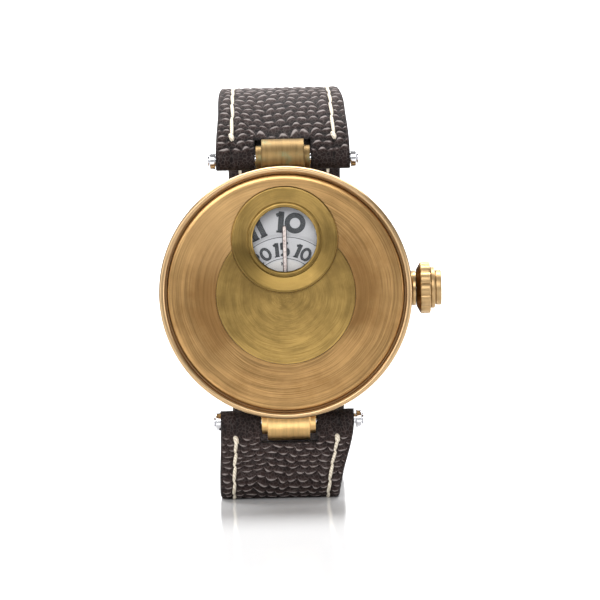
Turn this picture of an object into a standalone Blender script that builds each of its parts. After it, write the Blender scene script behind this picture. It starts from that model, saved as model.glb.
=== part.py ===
"""A wristwatch that shows the time on three turning discs behind a round window.

It stands on its closed strap, dial upright. Metres, +Z up. The dial faces -Y, the crown
points to +X, and the origin is on the ground under the foot of the strap. Head pieces live
in the dial frame: X to the right, Y up the dial, Z out of it. A depth is counted backwards
from the front of the rim, so it is minus Z there. Strap pieces live in the strap frame,
where Y is that same depth and Z is the height above the dial's axis.
"""

import math

import bmesh
import bpy
import numpy as np

MM = 0.001

# Driving dimensions
CASE_RADIUS = 22.5 * MM
AXIS_HEIGHT = 38.0 * MM
FOOT_FROM_FRONT = 25.0 * MM
STRAP_WIDTH_AT_BAR = 24.0 * MM
STRAP_WIDTH = 21.6 * MM
STRAP_THICKNESS = 3.2 * MM
RIM_OVERHANG = 3.1 * MM
CASE_WALL = 2.9 * MM
RING_WALL = 1.1 * MM
RING_GAP = 0.15 * MM
BAR_CLEAR_OF_RIM = 1.0 * MM
BAR_HEIGHT = CASE_RADIUS + BAR_CLEAR_OF_RIM
BAR_DEPTH = 7.2 * MM
WINDOW_RADIUS = 5.75 * MM
WINDOW_HEIGHT = CASE_RADIUS * 0.4204

# Clearances that many pieces share
RUNNING = 0.05 * MM
SEAT_GAP = 0.04 * MM
OVERRUN = 1.0 * MM
LAP = 0.05 * MM
MERGE = 0.001 * MM

# How finely round pieces are faceted
BIG_ROUND = 42
ROUND = 24
SMALL_ROUND = 12
TINY_ROUND = 8

UP = math.pi / 2

# The stack behind the rim, front to back. Each depth follows from the one in front of it.
DISH_BACK = 1.9 * MM
SPIGOT_BACK = 2.25 * MM
POINTER_RADIUS = 0.22 * MM
POINTER_DEPTH = SPIGOT_BACK + POINTER_RADIUS + SEAT_GAP
DISC_THICKNESS = 0.22 * MM
DISC_GAP = 0.2 * MM
SECONDS_DISC_DEPTH = POINTER_DEPTH + POINTER_RADIUS + DISC_GAP
MINUTE_DISC_DEPTH = SECONDS_DISC_DEPTH + DISC_THICKNESS + DISC_GAP
HOUR_DISC_DEPTH = MINUTE_DISC_DEPTH + DISC_THICKNESS + DISC_GAP
WHEEL_THICKNESS = 0.25 * MM
LAYER_GAP = 0.15 * MM
HOUR_WHEEL_DEPTH = HOUR_DISC_DEPTH + DISC_THICKNESS + LAYER_GAP
MINUTE_WHEEL_DEPTH = HOUR_WHEEL_DEPTH + WHEEL_THICKNESS + LAYER_GAP
PLATE_DEPTH = MINUTE_WHEEL_DEPTH + WHEEL_THICKNESS + DISC_GAP
PLATE_THICKNESS = 1.35 * MM
PLATE_BACK = PLATE_DEPTH + PLATE_THICKNESS
STEM_DEPTH = PLATE_DEPTH + PLATE_THICKNESS / 2
BARREL_DEPTH = PLATE_BACK + DISC_GAP
BARREL_TOOTH_THICKNESS = 0.4 * MM
BARREL_HEIGHT = 1.4 * MM
CENTRE_LAYER = BARREL_DEPTH + BARREL_HEIGHT + LAYER_GAP
THIRD_LAYER = CENTRE_LAYER + WHEEL_THICKNESS + LAYER_GAP
FOURTH_LAYER = THIRD_LAYER + WHEEL_THICKNESS + LAYER_GAP
BRIDGE_DEPTH = FOURTH_LAYER + WHEEL_THICKNESS + DISC_GAP
BRIDGE_THICKNESS = 0.7 * MM
BRIDGE_BACK = BRIDGE_DEPTH + BRIDGE_THICKNESS
SCREW_HEAD_HEIGHT = 0.25 * MM
CASE_BACK_DEPTH = BRIDGE_BACK + SCREW_HEAD_HEIGHT + LAYER_GAP
CASE_BACK_THICKNESS = 1.3 * MM
MOVEMENT_RING_BACK = FOURTH_LAYER

# Rings inside the rim, from the outside inwards
CASE_BODY_RADIUS = CASE_RADIUS - RIM_OVERHANG
CASE_BORE_RADIUS = CASE_BODY_RADIUS - CASE_WALL
MOVEMENT_RADIUS = CASE_BORE_RADIUS - RING_WALL - 2 * RING_GAP

# Plan of the movement: modules, tooth counts and where each arbor stands. The plan grows
# with the movement's radius.
BARREL_MODULE = MOVEMENT_RADIUS * 0.0185
TRAIN_MODULE = MOVEMENT_RADIUS * 0.01457
MOTION_MODULE = MOVEMENT_RADIUS * 0.01656
WINDING_MODULE = MOVEMENT_RADIUS * 0.0265
PINION_MODULE = MOVEMENT_RADIUS * 0.01656
BARREL_TEETH = 48
CENTRE_LEAVES = 8
CENTRE_TEETH = 48
THIRD_LEAVES = 6
THIRD_TEETH = 45
FOURTH_LEAVES = 6
FOURTH_TEETH = 48
ESCAPE_LEAVES = 6
ESCAPE_TEETH = 15
CANNON_TEETH = 8
MINUTE_TEETH = 24
MINUTE_LEAVES = 6
HOUR_TEETH = 24
RATCHET_TEETH = 30
CROWN_WHEEL_TEETH = 18
PINION_TEETH = 10
FACE_TEETH = 16
BARREL_BEARING = math.radians(60)
THIRD_BEARING = math.radians(200)
ESCAPE_BEARING = math.radians(290)
BALANCE_BEARING = math.radians(-50)
MINUTE_WHEEL_BEARING = math.radians(180)


def polar(distance, bearing, start=(0.0, 0.0)):
    """The point at a distance and bearing from a start."""
    return (start[0] + distance * math.cos(bearing), start[1] + distance * math.sin(bearing))


def pitch_radius(module, teeth):
    """A toothed wheel's pitch radius."""
    return module * teeth / 2


def centres(module, teeth, leaves):
    """The distance between two arbors whose wheels mesh."""
    return pitch_radius(module, teeth) + pitch_radius(module, leaves)


TRAIN_DISTANCE = centres(TRAIN_MODULE, CENTRE_TEETH, THIRD_LEAVES)
THIRD_MODULE = 2 * TRAIN_DISTANCE / (THIRD_TEETH + FOURTH_LEAVES)
BARREL_AT = polar(centres(BARREL_MODULE, BARREL_TEETH, CENTRE_LEAVES), BARREL_BEARING)
THIRD_AT = polar(TRAIN_DISTANCE, THIRD_BEARING)
ESCAPE_AT = polar(centres(TRAIN_MODULE, FOURTH_TEETH, ESCAPE_LEAVES), ESCAPE_BEARING)
BALANCE_DISTANCE = MOVEMENT_RADIUS * 0.689
BALANCE_AT = polar(BALANCE_DISTANCE, BALANCE_BEARING)
MOTION_DISTANCE = centres(MOTION_MODULE, MINUTE_TEETH, CANNON_TEETH)
HOUR_MODULE = 2 * MOTION_DISTANCE / (HOUR_TEETH + MINUTE_LEAVES)
MINUTE_WHEEL_AT = polar(MOTION_DISTANCE, MINUTE_WHEEL_BEARING)
WINDING_DISTANCE = centres(WINDING_MODULE, RATCHET_TEETH, CROWN_WHEEL_TEETH)
CROWN_WHEEL_AT = (BARREL_AT[0] + math.sqrt(WINDING_DISTANCE**2 - BARREL_AT[1] ** 2), 0.0)

# Colour, roughness and metallic value of each material
FINISHES = {
    "rim_bronze": ((0.62, 0.41, 0.21), 0.38, 1.0),
    "dish_bronze": ((0.52, 0.33, 0.17), 0.42, 1.0),
    "yellow_brass": ((0.50, 0.37, 0.16), 0.36, 1.0),
    "gilt_plate": ((0.62, 0.48, 0.25), 0.4, 1.0),
    "polished_steel": ((0.62, 0.62, 0.64), 0.18, 1.0),
    "blued_steel": ((0.05, 0.09, 0.25), 0.25, 1.0),
    "silvered_disc": ((0.66, 0.66, 0.68), 0.5, 0.3),
    "copper_wire": ((0.6, 0.42, 0.36), 0.3, 1.0),
    "clear_glass": ((0.9, 0.93, 0.95), 0.05, 0.0),
    "brown_leather": ((0.075, 0.05, 0.045), 0.6, 0.0),
    "black_rubber": ((0.02, 0.02, 0.02), 0.7, 0.0),
}


def clear_scene():
    """Remove every object, and make the collections for the pieces and the cutters."""
    for old in list(bpy.data.objects):
        bpy.data.objects.remove(old, do_unlink=True)
    made = []
    for name in ("wristwatch", "cutters"):
        collection = bpy.data.collections.get(name) or bpy.data.collections.new(name)
        if collection.name not in bpy.context.scene.collection.children:
            bpy.context.scene.collection.children.link(collection)
        made.append(collection)
    return made


PIECES, CUTTERS = clear_scene()


def material(name):
    """The named Principled material, made once."""
    found = bpy.data.materials.get(name)
    if found:
        return found
    colour, roughness, metallic = FINISHES[name]
    made = bpy.data.materials.new(name)
    made.use_nodes = True
    shader = made.node_tree.nodes["Principled BSDF"]
    shader.inputs["Base Color"].default_value = (*colour, 1.0)
    shader.inputs["Roughness"].default_value = roughness
    shader.inputs["Metallic"].default_value = metallic
    made.diffuse_color = (*colour, 1.0)
    return made


def frame(name, location, rotation=(0.0, 0.0, 0.0), parent=None):
    """An empty that pieces are parented to."""
    empty = bpy.data.objects.new(name, None)
    empty.location = location
    empty.rotation_euler = rotation
    empty.parent = parent
    empty.empty_display_size = OVERRUN
    PIECES.objects.link(empty)
    return empty


DIAL = frame("dial_frame", (0.0, -FOOT_FROM_FRONT, AXIS_HEIGHT), (UP, 0.0, 0.0))
STRAP = frame("strap_frame", (0.0, -FOOT_FROM_FRONT, AXIS_HEIGHT))
STEM = frame("stem_frame", (0.0, 0.0, -STEM_DEPTH), (0.0, UP, 0.0), DIAL)
UPPER_BAR = frame("upper_bar_frame", (0.0, BAR_HEIGHT, -BAR_DEPTH), (0.0, UP, 0.0), DIAL)
LOWER_BAR = frame("lower_bar_frame", (0.0, -BAR_HEIGHT, -BAR_DEPTH), (0.0, UP, 0.0), DIAL)


def place(mesh, name, finish, centre=(0.0, 0.0), parent=DIAL, smooth=True):
    """Make an object of a mesh, with its origin on the axis through centre. With no finish
    it is a cutter or a shape to join."""
    piece = bpy.data.objects.new(name, mesh)
    piece.parent = parent
    piece.location = (centre[0], centre[1], 0.0)
    if smooth:
        mesh.shade_smooth()
        mesh.set_sharp_from_angle(angle=math.radians(35))
    if finish:
        mesh.materials.append(material(finish))
        PIECES.objects.link(piece)
    else:
        piece.hide_render = True
        piece.display_type = "WIRE"
        CUTTERS.objects.link(piece)
    return piece


def turned(name, finish, profile, steps=ROUND, centre=(0.0, 0.0), parent=DIAL):
    """A turned shape. Its profile is (radius, height) points that run down the outer side; one
    that starts and ends on the axis is solid, and any other closes on itself as a ring."""
    points = [(radius, 0.0, height) for radius, height in profile]
    solid = profile[0][0] == 0.0
    count = len(points)
    edges = [(i, (i + 1) % count) for i in range(count - 1 if solid else count)]
    mesh = bpy.data.meshes.new(name)
    mesh.from_pydata(points, edges, [])
    piece = place(mesh, name, finish, centre, parent, smooth=False)
    screw = piece.modifiers.new("turn", "SCREW")
    screw.steps = steps
    screw.render_steps = steps
    screw.use_merge_vertices = True
    screw.merge_threshold = MERGE
    screw.use_smooth_shade = True
    return piece


def from_front(profile):
    """A profile given as (radius, depth), from the front backwards, in the dial frame."""
    return [(radius, -depth) for radius, depth in profile]


def plate(name, finish, loops, low, high, centre=(0.0, 0.0), parent=DIAL, smooth=True):
    """A flat outline with its holes, filled between two heights, as a mesh."""
    curve = bpy.data.curves.new(name, "CURVE")
    curve.dimensions = "2D"
    curve.fill_mode = "BOTH"
    curve.extrude = (high - low) / 2
    for loop in loops:
        spline = curve.splines.new("POLY")
        spline.points.add(len(loop) - 1)
        spline.points.foreach_set("co", [v for x, y in loop for v in (x, y, 0.0, 1.0)])
        spline.use_cyclic_u = True
    maker = bpy.data.objects.new(name + "_outline", curve)
    PIECES.objects.link(maker)
    evaluated = maker.evaluated_get(bpy.context.evaluated_depsgraph_get())
    mesh = bpy.data.meshes.new_from_object(evaluated)
    bpy.data.objects.remove(maker, do_unlink=True)
    bpy.data.curves.remove(curve)
    work = bmesh.new()
    work.from_mesh(mesh)
    bmesh.ops.translate(work, verts=work.verts, vec=(0.0, 0.0, (low + high) / 2))
    bmesh.ops.remove_doubles(work, verts=work.verts, dist=MERGE)
    bmesh.ops.recalc_face_normals(work, faces=work.faces)
    work.to_mesh(mesh)
    work.free()
    return place(mesh, name, finish, centre, parent, smooth)


def rod(name, finish, radius, low, high, centre=(0.0, 0.0), parent=DIAL, sides=SMALL_ROUND):
    """A cylinder along the frame's Z between two heights."""
    work = bmesh.new()
    bmesh.ops.create_cone(work, cap_ends=True, segments=sides, radius1=radius, radius2=radius,
                          depth=high - low)
    bmesh.ops.translate(work, verts=work.verts, vec=(0.0, 0.0, (low + high) / 2))
    mesh = bpy.data.meshes.new(name)
    work.to_mesh(mesh)
    work.free()
    return place(mesh, name, finish, centre, parent)


def block(name, finish, low, high, parent=DIAL):
    """A box between two corners."""
    work = bmesh.new()
    bmesh.ops.create_cube(work, size=1.0)
    size = [high[i] - low[i] for i in range(3)]
    bmesh.ops.scale(work, verts=work.verts, vec=size)
    bmesh.ops.translate(work, verts=work.verts, vec=[(high[i] + low[i]) / 2 for i in range(3)])
    mesh = bpy.data.meshes.new(name)
    work.to_mesh(mesh)
    work.free()
    return place(mesh, name, finish, parent=parent, smooth=False)


def combine(piece, tools, operation):
    """Join tools to a piece, or cut them out of it, with one Boolean each."""
    for tool in tools:
        modifier = piece.modifiers.new(operation.lower(), "BOOLEAN")
        modifier.operation = operation
        modifier.solver = "EXACT"
        modifier.object = tool
    return piece


def cut(piece, *tools):
    return combine(piece, tools, "DIFFERENCE")


def join(piece, *tools):
    return combine(piece, tools, "UNION")


def circle(radius, sides, centre=(0.0, 0.0)):
    """The points of a round hole or edge."""
    turn = 2 * math.pi / sides
    return [polar(radius, turn * i, centre) for i in range(sides)]


# Teeth, as shares of the module, and of the angle from one tooth to the next
ADDENDUM_SHARE = 0.72
DEDENDUM_SHARE = 1.1
TOOTH_ROOT_SHARE = 0.52


def teeth_outline(teeth, module, towards, gap=False):
    """A toothed outline with a tooth, or a gap, centred on the bearing towards its mate."""
    pitch = 2 * math.pi / teeth
    radius = pitch_radius(module, teeth)
    tip = radius + ADDENDUM_SHARE * module
    root = radius - DEDENDUM_SHARE * module
    points = []
    for i in range(teeth):
        middle = towards + pitch * (i + (0.5 if gap else 0.0))
        for distance, share in ((root, -TOOTH_ROOT_SHARE), (tip, 0.0), (root, TOOTH_ROOT_SHARE)):
            points.append(polar(distance, middle + share * pitch / 2))
    return points


SPOKES = 4
SPOKE_WIDTH_SHARE = 0.14
WINDOW_CORNERS = 3


def spoke_windows(inner, outer):
    """The four windows between a wheel's spokes."""
    windows = []
    for i in range(SPOKES):
        start = 2 * math.pi * (i + SPOKE_WIDTH_SHARE) / SPOKES
        sweep = 2 * math.pi * (1 - 2 * SPOKE_WIDTH_SHARE) / SPOKES
        bearings = [start + sweep * j / (WINDOW_CORNERS - 1) for j in range(WINDOW_CORNERS)]
        edge = [polar(outer, b) for b in bearings]
        windows.append(edge + [polar(inner, b) for b in (bearings[-1], bearings[0])])
    return windows


# Rim and case band
RIM_BACK = 2.4 * MM
RIM_WIDTH = 1.1 * MM
RIM_LEDGE_WIDTH = 2.8 * MM
RIM_GROOVE_RADIUS = CASE_RADIUS - RIM_WIDTH
RIM_LEDGE_RADIUS = RIM_GROOVE_RADIUS - RIM_LEDGE_WIDTH
RIM_CREST = 0.6 * MM
RIM_EASE = 0.16 * MM
TUBE_SPIGOT_RADIUS = 1.8 * MM


def make_rim():
    """The flanged rim: a rounded crest, the groove inside it and the ledge for the dish."""
    ledge = DISH_BACK + SEAT_GAP
    profile = [
        (RIM_GROOVE_RADIUS, RIM_CREST), (RIM_GROOVE_RADIUS + RIM_EASE, RIM_EASE),
        (CASE_RADIUS - RIM_CREST, 0.0), (CASE_RADIUS - RIM_EASE, RIM_EASE),
        (CASE_RADIUS, RIM_CREST), (CASE_RADIUS, RIM_BACK), (RIM_LEDGE_RADIUS, RIM_BACK),
        (RIM_LEDGE_RADIUS, ledge), (RIM_GROOVE_RADIUS, ledge),
    ]
    return turned("rim", "rim_bronze", from_front(profile), BIG_ROUND)


def make_case_middle():
    """The case band between the rim and the back, bored for the crown tube."""
    front = RIM_BACK + SEAT_GAP
    profile = [
        (CASE_BODY_RADIUS, front), (CASE_BODY_RADIUS, CASE_BACK_DEPTH),
        (CASE_BORE_RADIUS, CASE_BACK_DEPTH), (CASE_BORE_RADIUS, front),
    ]
    band = turned("case_middle", "dish_bronze", from_front(profile), BIG_ROUND)
    cut(band, rod("cut_tube_hole", None, TUBE_SPIGOT_RADIUS + RUNNING, CASE_BORE_RADIUS - OVERRUN,
                  CASE_BODY_RADIUS + OVERRUN, parent=STEM, sides=ROUND))
    return band


# Dial face: the bronze dish, its raised brass disc and the ring round the window
DISH_GROOVE_WIDTH = 0.55 * MM
DISH_RADIUS = RIM_GROOVE_RADIUS - DISH_GROOVE_WIDTH
DISH_EDGE_DEPTH = 0.85 * MM
DISH_SHOULDER = 0.9 * MM
DISH_CREST_DEPTH = 0.38 * MM
DISH_BOWL_DROP = 1.0 * MM
BRASS_DISC_RADIUS = CASE_RADIUS * 0.551
BRASS_DISC_SHIFT = 0.35 * MM
BRASS_DISC_RIM_DEPTH = 0.78 * MM
BRASS_DISC_DROP = 0.4 * MM
POCKET_DEPTH = 1.5 * MM
WINDOW_RING_WIDTH = 3.7 * MM
WINDOW_RING_RADIUS = WINDOW_RADIUS + WINDOW_RING_WIDTH
WINDOW_RING_FACE_DEPTH = 0.32 * MM
WINDOW_RING_EASE = 0.12 * MM
WINDOW_LIP_WIDTH = 0.8 * MM
FUNNEL_FOOT_RADIUS = WINDOW_RADIUS + WINDOW_LIP_WIDTH
FUNNEL_FOOT_DEPTH = 0.85 * MM
WINDOW_STEP = 0.14 * MM
SPIGOT_WALL = 0.35 * MM
CRYSTAL_SEAT_WIDTH = 0.4 * MM
CRYSTAL_RADIUS = WINDOW_RADIUS + CRYSTAL_SEAT_WIDTH
CRYSTAL_THICKNESS = 0.5 * MM
GASKET_THICKNESS = 0.12 * MM
BOWL_RINGS = 4


def bowl(outer_radius, rim_depth, drop, rings):
    """Points of a shallow spherical bowl from its middle to its edge, as (radius, depth)."""
    shares = [i / rings for i in range(rings + 1)]
    return [(outer_radius * t, rim_depth + drop * (1 - t * t)) for t in shares]


def pocket(name, radius, depth, centre):
    """A round recess from the front down to a depth."""
    return rod(name, None, radius, -depth, OVERRUN, centre, sides=BIG_ROUND)


def make_dish():
    """The bronze dish: a rounded shoulder round a shallow bowl, recessed for the brass disc
    and the window ring."""
    front = bowl(DISH_RADIUS - DISH_SHOULDER, DISH_CREST_DEPTH, DISH_BOWL_DROP, BOWL_RINGS)
    edge = [(DISH_RADIUS - DISH_SHOULDER / 3, (DISH_CREST_DEPTH + DISH_EDGE_DEPTH) / 2),
            (DISH_RADIUS, DISH_EDGE_DEPTH), (DISH_RADIUS, DISH_BACK), (0.0, DISH_BACK)]
    dish = turned("dial_dish", "dish_bronze", from_front(front + edge), BIG_ROUND)
    cut(dish, pocket("cut_brass_disc_pocket", BRASS_DISC_RADIUS + SEAT_GAP, POCKET_DEPTH,
                     (0.0, -BRASS_DISC_SHIFT)),
        pocket("cut_window_ring_pocket", WINDOW_RING_RADIUS + SEAT_GAP, POCKET_DEPTH,
               (0.0, WINDOW_HEIGHT)),
        pocket("cut_spigot_hole", CRYSTAL_RADIUS + SPIGOT_WALL + 2 * SEAT_GAP,
               DISH_BACK + OVERRUN, (0.0, WINDOW_HEIGHT)))
    return dish


def make_brass_disc():
    """The raised brass disc, bitten into by the window ring."""
    seat = POCKET_DEPTH - SEAT_GAP
    front = bowl(BRASS_DISC_RADIUS - RIM_EASE, BRASS_DISC_RIM_DEPTH, BRASS_DISC_DROP, BOWL_RINGS)
    edge = [(BRASS_DISC_RADIUS, BRASS_DISC_RIM_DEPTH + RIM_EASE), (BRASS_DISC_RADIUS, seat),
            (0.0, seat)]
    disc = turned("brass_centre_disc", "yellow_brass", from_front(front + edge), BIG_ROUND,
                  (0.0, -BRASS_DISC_SHIFT))
    return cut(disc, rod("cut_ring_bite", None, WINDOW_RING_RADIUS + SEAT_GAP,
                         -DISH_BACK - OVERRUN, OVERRUN, (0.0, WINDOW_HEIGHT), sides=BIG_ROUND))


def make_window():
    """The funnel-faced window ring with its spigot, the crystal and the crystal's gasket."""
    seat = POCKET_DEPTH - SEAT_GAP
    spigot = CRYSTAL_RADIUS + SPIGOT_WALL
    bore = CRYSTAL_RADIUS + SEAT_GAP
    profile = [
        (WINDOW_RADIUS, FUNNEL_FOOT_DEPTH + WINDOW_STEP), (FUNNEL_FOOT_RADIUS, FUNNEL_FOOT_DEPTH),
        (WINDOW_RING_RADIUS - 2 * WINDOW_RING_EASE, WINDOW_RING_FACE_DEPTH),
        (WINDOW_RING_RADIUS, WINDOW_RING_FACE_DEPTH + WINDOW_RING_EASE),
        (WINDOW_RING_RADIUS, seat), (spigot, seat), (spigot, SPIGOT_BACK), (bore, SPIGOT_BACK),
        (bore, seat), (WINDOW_RADIUS, seat),
    ]
    at = (0.0, WINDOW_HEIGHT)
    turned("window_ring", "yellow_brass", from_front(profile), BIG_ROUND, at)
    gasket_front = seat + SEAT_GAP
    gasket_back = gasket_front + GASKET_THICKNESS
    gasket = [(CRYSTAL_RADIUS, gasket_front), (CRYSTAL_RADIUS, gasket_back),
              (WINDOW_RADIUS, gasket_back), (WINDOW_RADIUS, gasket_front)]
    turned("crystal_gasket", "black_rubber", from_front(gasket), ROUND, at)
    front = gasket_back + SEAT_GAP
    rod("window_crystal", "clear_glass", CRYSTAL_RADIUS, -front - CRYSTAL_THICKNESS, -front, at,
        sides=ROUND)


# Fixed pointer behind the crystal
POINTER_PAST_WINDOW = 2.44 * MM
POINTER_TIP_HEIGHT = WINDOW_HEIGHT + POINTER_PAST_WINDOW
POINTER_FOOT_WIDTH = 1.6 * MM
POINTER_FOOT_LENGTH = 1.2 * MM


def make_pointer():
    """The fixed wire pointer. Its foot is held under the dish, below the window's spigot."""
    spigot_edge = WINDOW_HEIGHT - CRYSTAL_RADIUS - SPIGOT_WALL
    foot_top = spigot_edge - SEAT_GAP
    foot_front = -DISH_BACK - SEAT_GAP
    foot = block("pointer", "copper_wire",
                 (-POINTER_FOOT_WIDTH / 2, foot_top - POINTER_FOOT_LENGTH,
                  -POINTER_DEPTH - POINTER_RADIUS),
                 (POINTER_FOOT_WIDTH / 2, foot_top, foot_front))
    wire = rod("join_pointer_wire", None, POINTER_RADIUS, foot_top - POINTER_FOOT_LENGTH / 2,
               POINTER_TIP_HEIGHT, sides=TINY_ROUND)
    wire.rotation_euler = (-UP, 0.0, 0.0)
    wire.location = (0.0, 0.0, -POINTER_DEPTH)
    return join(foot, wire)


# Case back
GASKET_WIDTH = 1.4 * MM
GASKET_HEIGHT = 0.2 * MM
BACK_EASE = 0.4 * MM
PLUG_WALL = 1.0 * MM


def make_case_back():
    """The press-on back: a collar that fits the band's bore, with a flat gasket under its
    flange."""
    gasket_front = CASE_BACK_DEPTH + SEAT_GAP
    inner = gasket_front + GASKET_HEIGHT + SEAT_GAP
    outer = inner + CASE_BACK_THICKNESS
    plug = CASE_BORE_RADIUS - SEAT_GAP
    collar_front = MOVEMENT_RING_BACK + SEAT_GAP
    profile = [
        (0.0, inner), (plug - PLUG_WALL, inner), (plug - PLUG_WALL, collar_front),
        (plug, collar_front), (plug, inner), (CASE_BODY_RADIUS, inner),
        (CASE_BODY_RADIUS, outer - BACK_EASE), (CASE_BODY_RADIUS - BACK_EASE, outer),
        (0.0, outer),
    ]
    turned("case_back", "dish_bronze", from_front(profile), BIG_ROUND)
    ring = [(CASE_BODY_RADIUS - GASKET_WIDTH / 2, gasket_front),
            (CASE_BODY_RADIUS - GASKET_WIDTH / 2, gasket_front + GASKET_HEIGHT),
            (CASE_BODY_RADIUS - GASKET_WIDTH * 1.5, gasket_front + GASKET_HEIGHT),
            (CASE_BODY_RADIUS - GASKET_WIDTH * 1.5, gasket_front)]
    turned("back_gasket", "black_rubber", from_front(ring), ROUND)


# Crown, its tube, stem and gasket. Lengths here run outwards from the dial's axis.
TUBE_SHOULDER_RADIUS = 3.2 * MM
TUBE_PAST_RIM = 0.7 * MM
TUBE_OUTER_END = CASE_RADIUS + TUBE_PAST_RIM
TUBE_BORE_RADIUS = 0.75 * MM
TUBE_RECESS_RADIUS = 1.25 * MM
TUBE_RECESS_DEPTH = 0.9 * MM
STEM_RADIUS = 0.5 * MM
STEM_INNER_END = MOVEMENT_RADIUS * 0.676
STEM_REACH = 2.0 * MM
CROWN_GAP = 0.12 * MM
CROWN_LOBES = 12
CROWN_LOBE_POINTS = 5
CROWN_RADIUS = 4.6 * MM
CROWN_LOBE_HEIGHT = 0.28 * MM
CROWN_SKIRT = 0.75 * MM
CROWN_WHEEL_WIDTH = 1.75 * MM
CROWN_STEP_RADIUS = 3.7 * MM
CROWN_STEP_WIDTH = 0.8 * MM
CROWN_CAP_RADIUS = 3.15 * MM
CROWN_CAP_WIDTH = 1.15 * MM


def lobed_outline(radius, height, lobes, points):
    """A wheel edge of convex lobes that meet in valleys: radius less height times a cosine."""
    outline = []
    for i in range(lobes * points):
        bearing = 2 * math.pi * i / (lobes * points)
        swell = abs(math.cos(lobes * bearing / 2))
        outline.append(polar(radius - height * (1 - swell), bearing))
    return outline


def make_crown():
    """The lobed crown on its stem, with the tube it turns over."""
    tube_end = TUBE_OUTER_END
    recess = tube_end - TUBE_RECESS_DEPTH
    shoulder = CASE_BODY_RADIUS + SEAT_GAP
    inner = CASE_BORE_RADIUS + SEAT_GAP
    tube = [
        (TUBE_RECESS_RADIUS, tube_end), (TUBE_SHOULDER_RADIUS, tube_end),
        (TUBE_SHOULDER_RADIUS, shoulder), (TUBE_SPIGOT_RADIUS, shoulder),
        (TUBE_SPIGOT_RADIUS, inner), (TUBE_BORE_RADIUS, inner), (TUBE_BORE_RADIUS, recess),
        (TUBE_RECESS_RADIUS, recess),
    ]
    turned("crown_tube", "rim_bronze", tube, ROUND, parent=STEM)
    gasket = [
        (TUBE_RECESS_RADIUS - SEAT_GAP, tube_end - SEAT_GAP),
        (TUBE_RECESS_RADIUS - SEAT_GAP, recess + SEAT_GAP),
        (STEM_RADIUS + RUNNING, recess + SEAT_GAP), (STEM_RADIUS + RUNNING, tube_end - SEAT_GAP),
    ]
    turned("crown_gasket", "black_rubber", gasket, SMALL_ROUND, parent=STEM)
    start = tube_end + CROWN_GAP
    wheel = start + CROWN_SKIRT
    step = wheel + CROWN_WHEEL_WIDTH
    cap = step + CROWN_STEP_WIDTH
    end = cap + CROWN_CAP_WIDTH
    outline = lobed_outline(CROWN_RADIUS, CROWN_LOBE_HEIGHT, CROWN_LOBES, CROWN_LOBE_POINTS)
    crown = plate("crown", "rim_bronze", [outline], wheel, step, parent=STEM)
    skirt = [(0.0, wheel + LAP), (CROWN_RADIUS - CROWN_LOBE_HEIGHT, wheel + LAP),
             (TUBE_SHOULDER_RADIUS, start), (0.0, start)]
    nose = [(0.0, end), (CROWN_CAP_RADIUS - RIM_EASE, end), (CROWN_CAP_RADIUS, end - RIM_EASE),
            (CROWN_CAP_RADIUS, cap), (CROWN_STEP_RADIUS, cap), (CROWN_STEP_RADIUS, step - LAP),
            (0.0, step - LAP)]
    join(crown, turned("join_crown_skirt", None, skirt, ROUND, parent=STEM),
         turned("join_crown_nose", None, nose, ROUND, parent=STEM))
    stem_end = start + STEM_REACH
    cut(crown, rod("cut_crown_bore", None, STEM_RADIUS + SEAT_GAP, start - OVERRUN,
                   stem_end + SEAT_GAP, parent=STEM))
    rod("winding_stem", "polished_steel", STEM_RADIUS, STEM_INNER_END, stem_end, parent=STEM)


# Lugs, which are soldered to the band, with their bars and the bars' screws. Widths here are
# across the strap.
DRUM_RADIUS = 3.6 * MM
DRUM_HALF_WIDTH = 3.8 * MM
COLLAR_RADIUS = 2.45 * MM
COLLAR_HALF_WIDTH = 4.85 * MM
BAR_RADIUS = 1.1 * MM
BAR_HALF_LENGTH = 12.1 * MM
BAR_SCREW_RADIUS = 0.6 * MM
BAR_SCREW_REACH = 2.2 * MM
BAR_HEAD_RADIUS = 1.65 * MM
BAR_HEAD_LENGTH = 0.95 * MM
BAR_TIP_RADIUS = 1.05 * MM
BAR_TIP_LENGTH = 0.4 * MM
LUG_FOOT_FRONT = 4.5 * MM


def make_lug(name, side, bar_frame):
    """A drum between two collars, on a foot that saddles the case band."""
    drum = [
        (BAR_RADIUS + RUNNING, COLLAR_HALF_WIDTH), (COLLAR_RADIUS, COLLAR_HALF_WIDTH),
        (COLLAR_RADIUS, DRUM_HALF_WIDTH), (DRUM_RADIUS - RIM_EASE, DRUM_HALF_WIDTH),
        (DRUM_RADIUS, DRUM_HALF_WIDTH - RIM_EASE), (DRUM_RADIUS, RIM_EASE - DRUM_HALF_WIDTH),
        (DRUM_RADIUS - RIM_EASE, -DRUM_HALF_WIDTH), (COLLAR_RADIUS, -DRUM_HALF_WIDTH),
        (COLLAR_RADIUS, -COLLAR_HALF_WIDTH), (BAR_RADIUS + RUNNING, -COLLAR_HALF_WIDTH),
    ]
    lug = turned(name, "dish_bronze", drum, ROUND, parent=bar_frame)
    foot_back = 2 * BAR_DEPTH - LUG_FOOT_FRONT
    heights = sorted((side * (CASE_BORE_RADIUS + OVERRUN),
                      side * (BAR_HEIGHT - BAR_RADIUS - RUNNING - LAP)))
    foot = block("join_lug_foot", None, (RIM_EASE - DRUM_HALF_WIDTH, heights[0], -foot_back),
                 (DRUM_HALF_WIDTH - RIM_EASE, heights[1], -LUG_FOOT_FRONT))
    join(lug, foot)
    cut(lug, rod("cut_case_band", None, CASE_BODY_RADIUS + SEAT_GAP,
                 -foot_back - OVERRUN, -LUG_FOOT_FRONT + OVERRUN, sides=3 * BIG_ROUND))
    return lug


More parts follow.
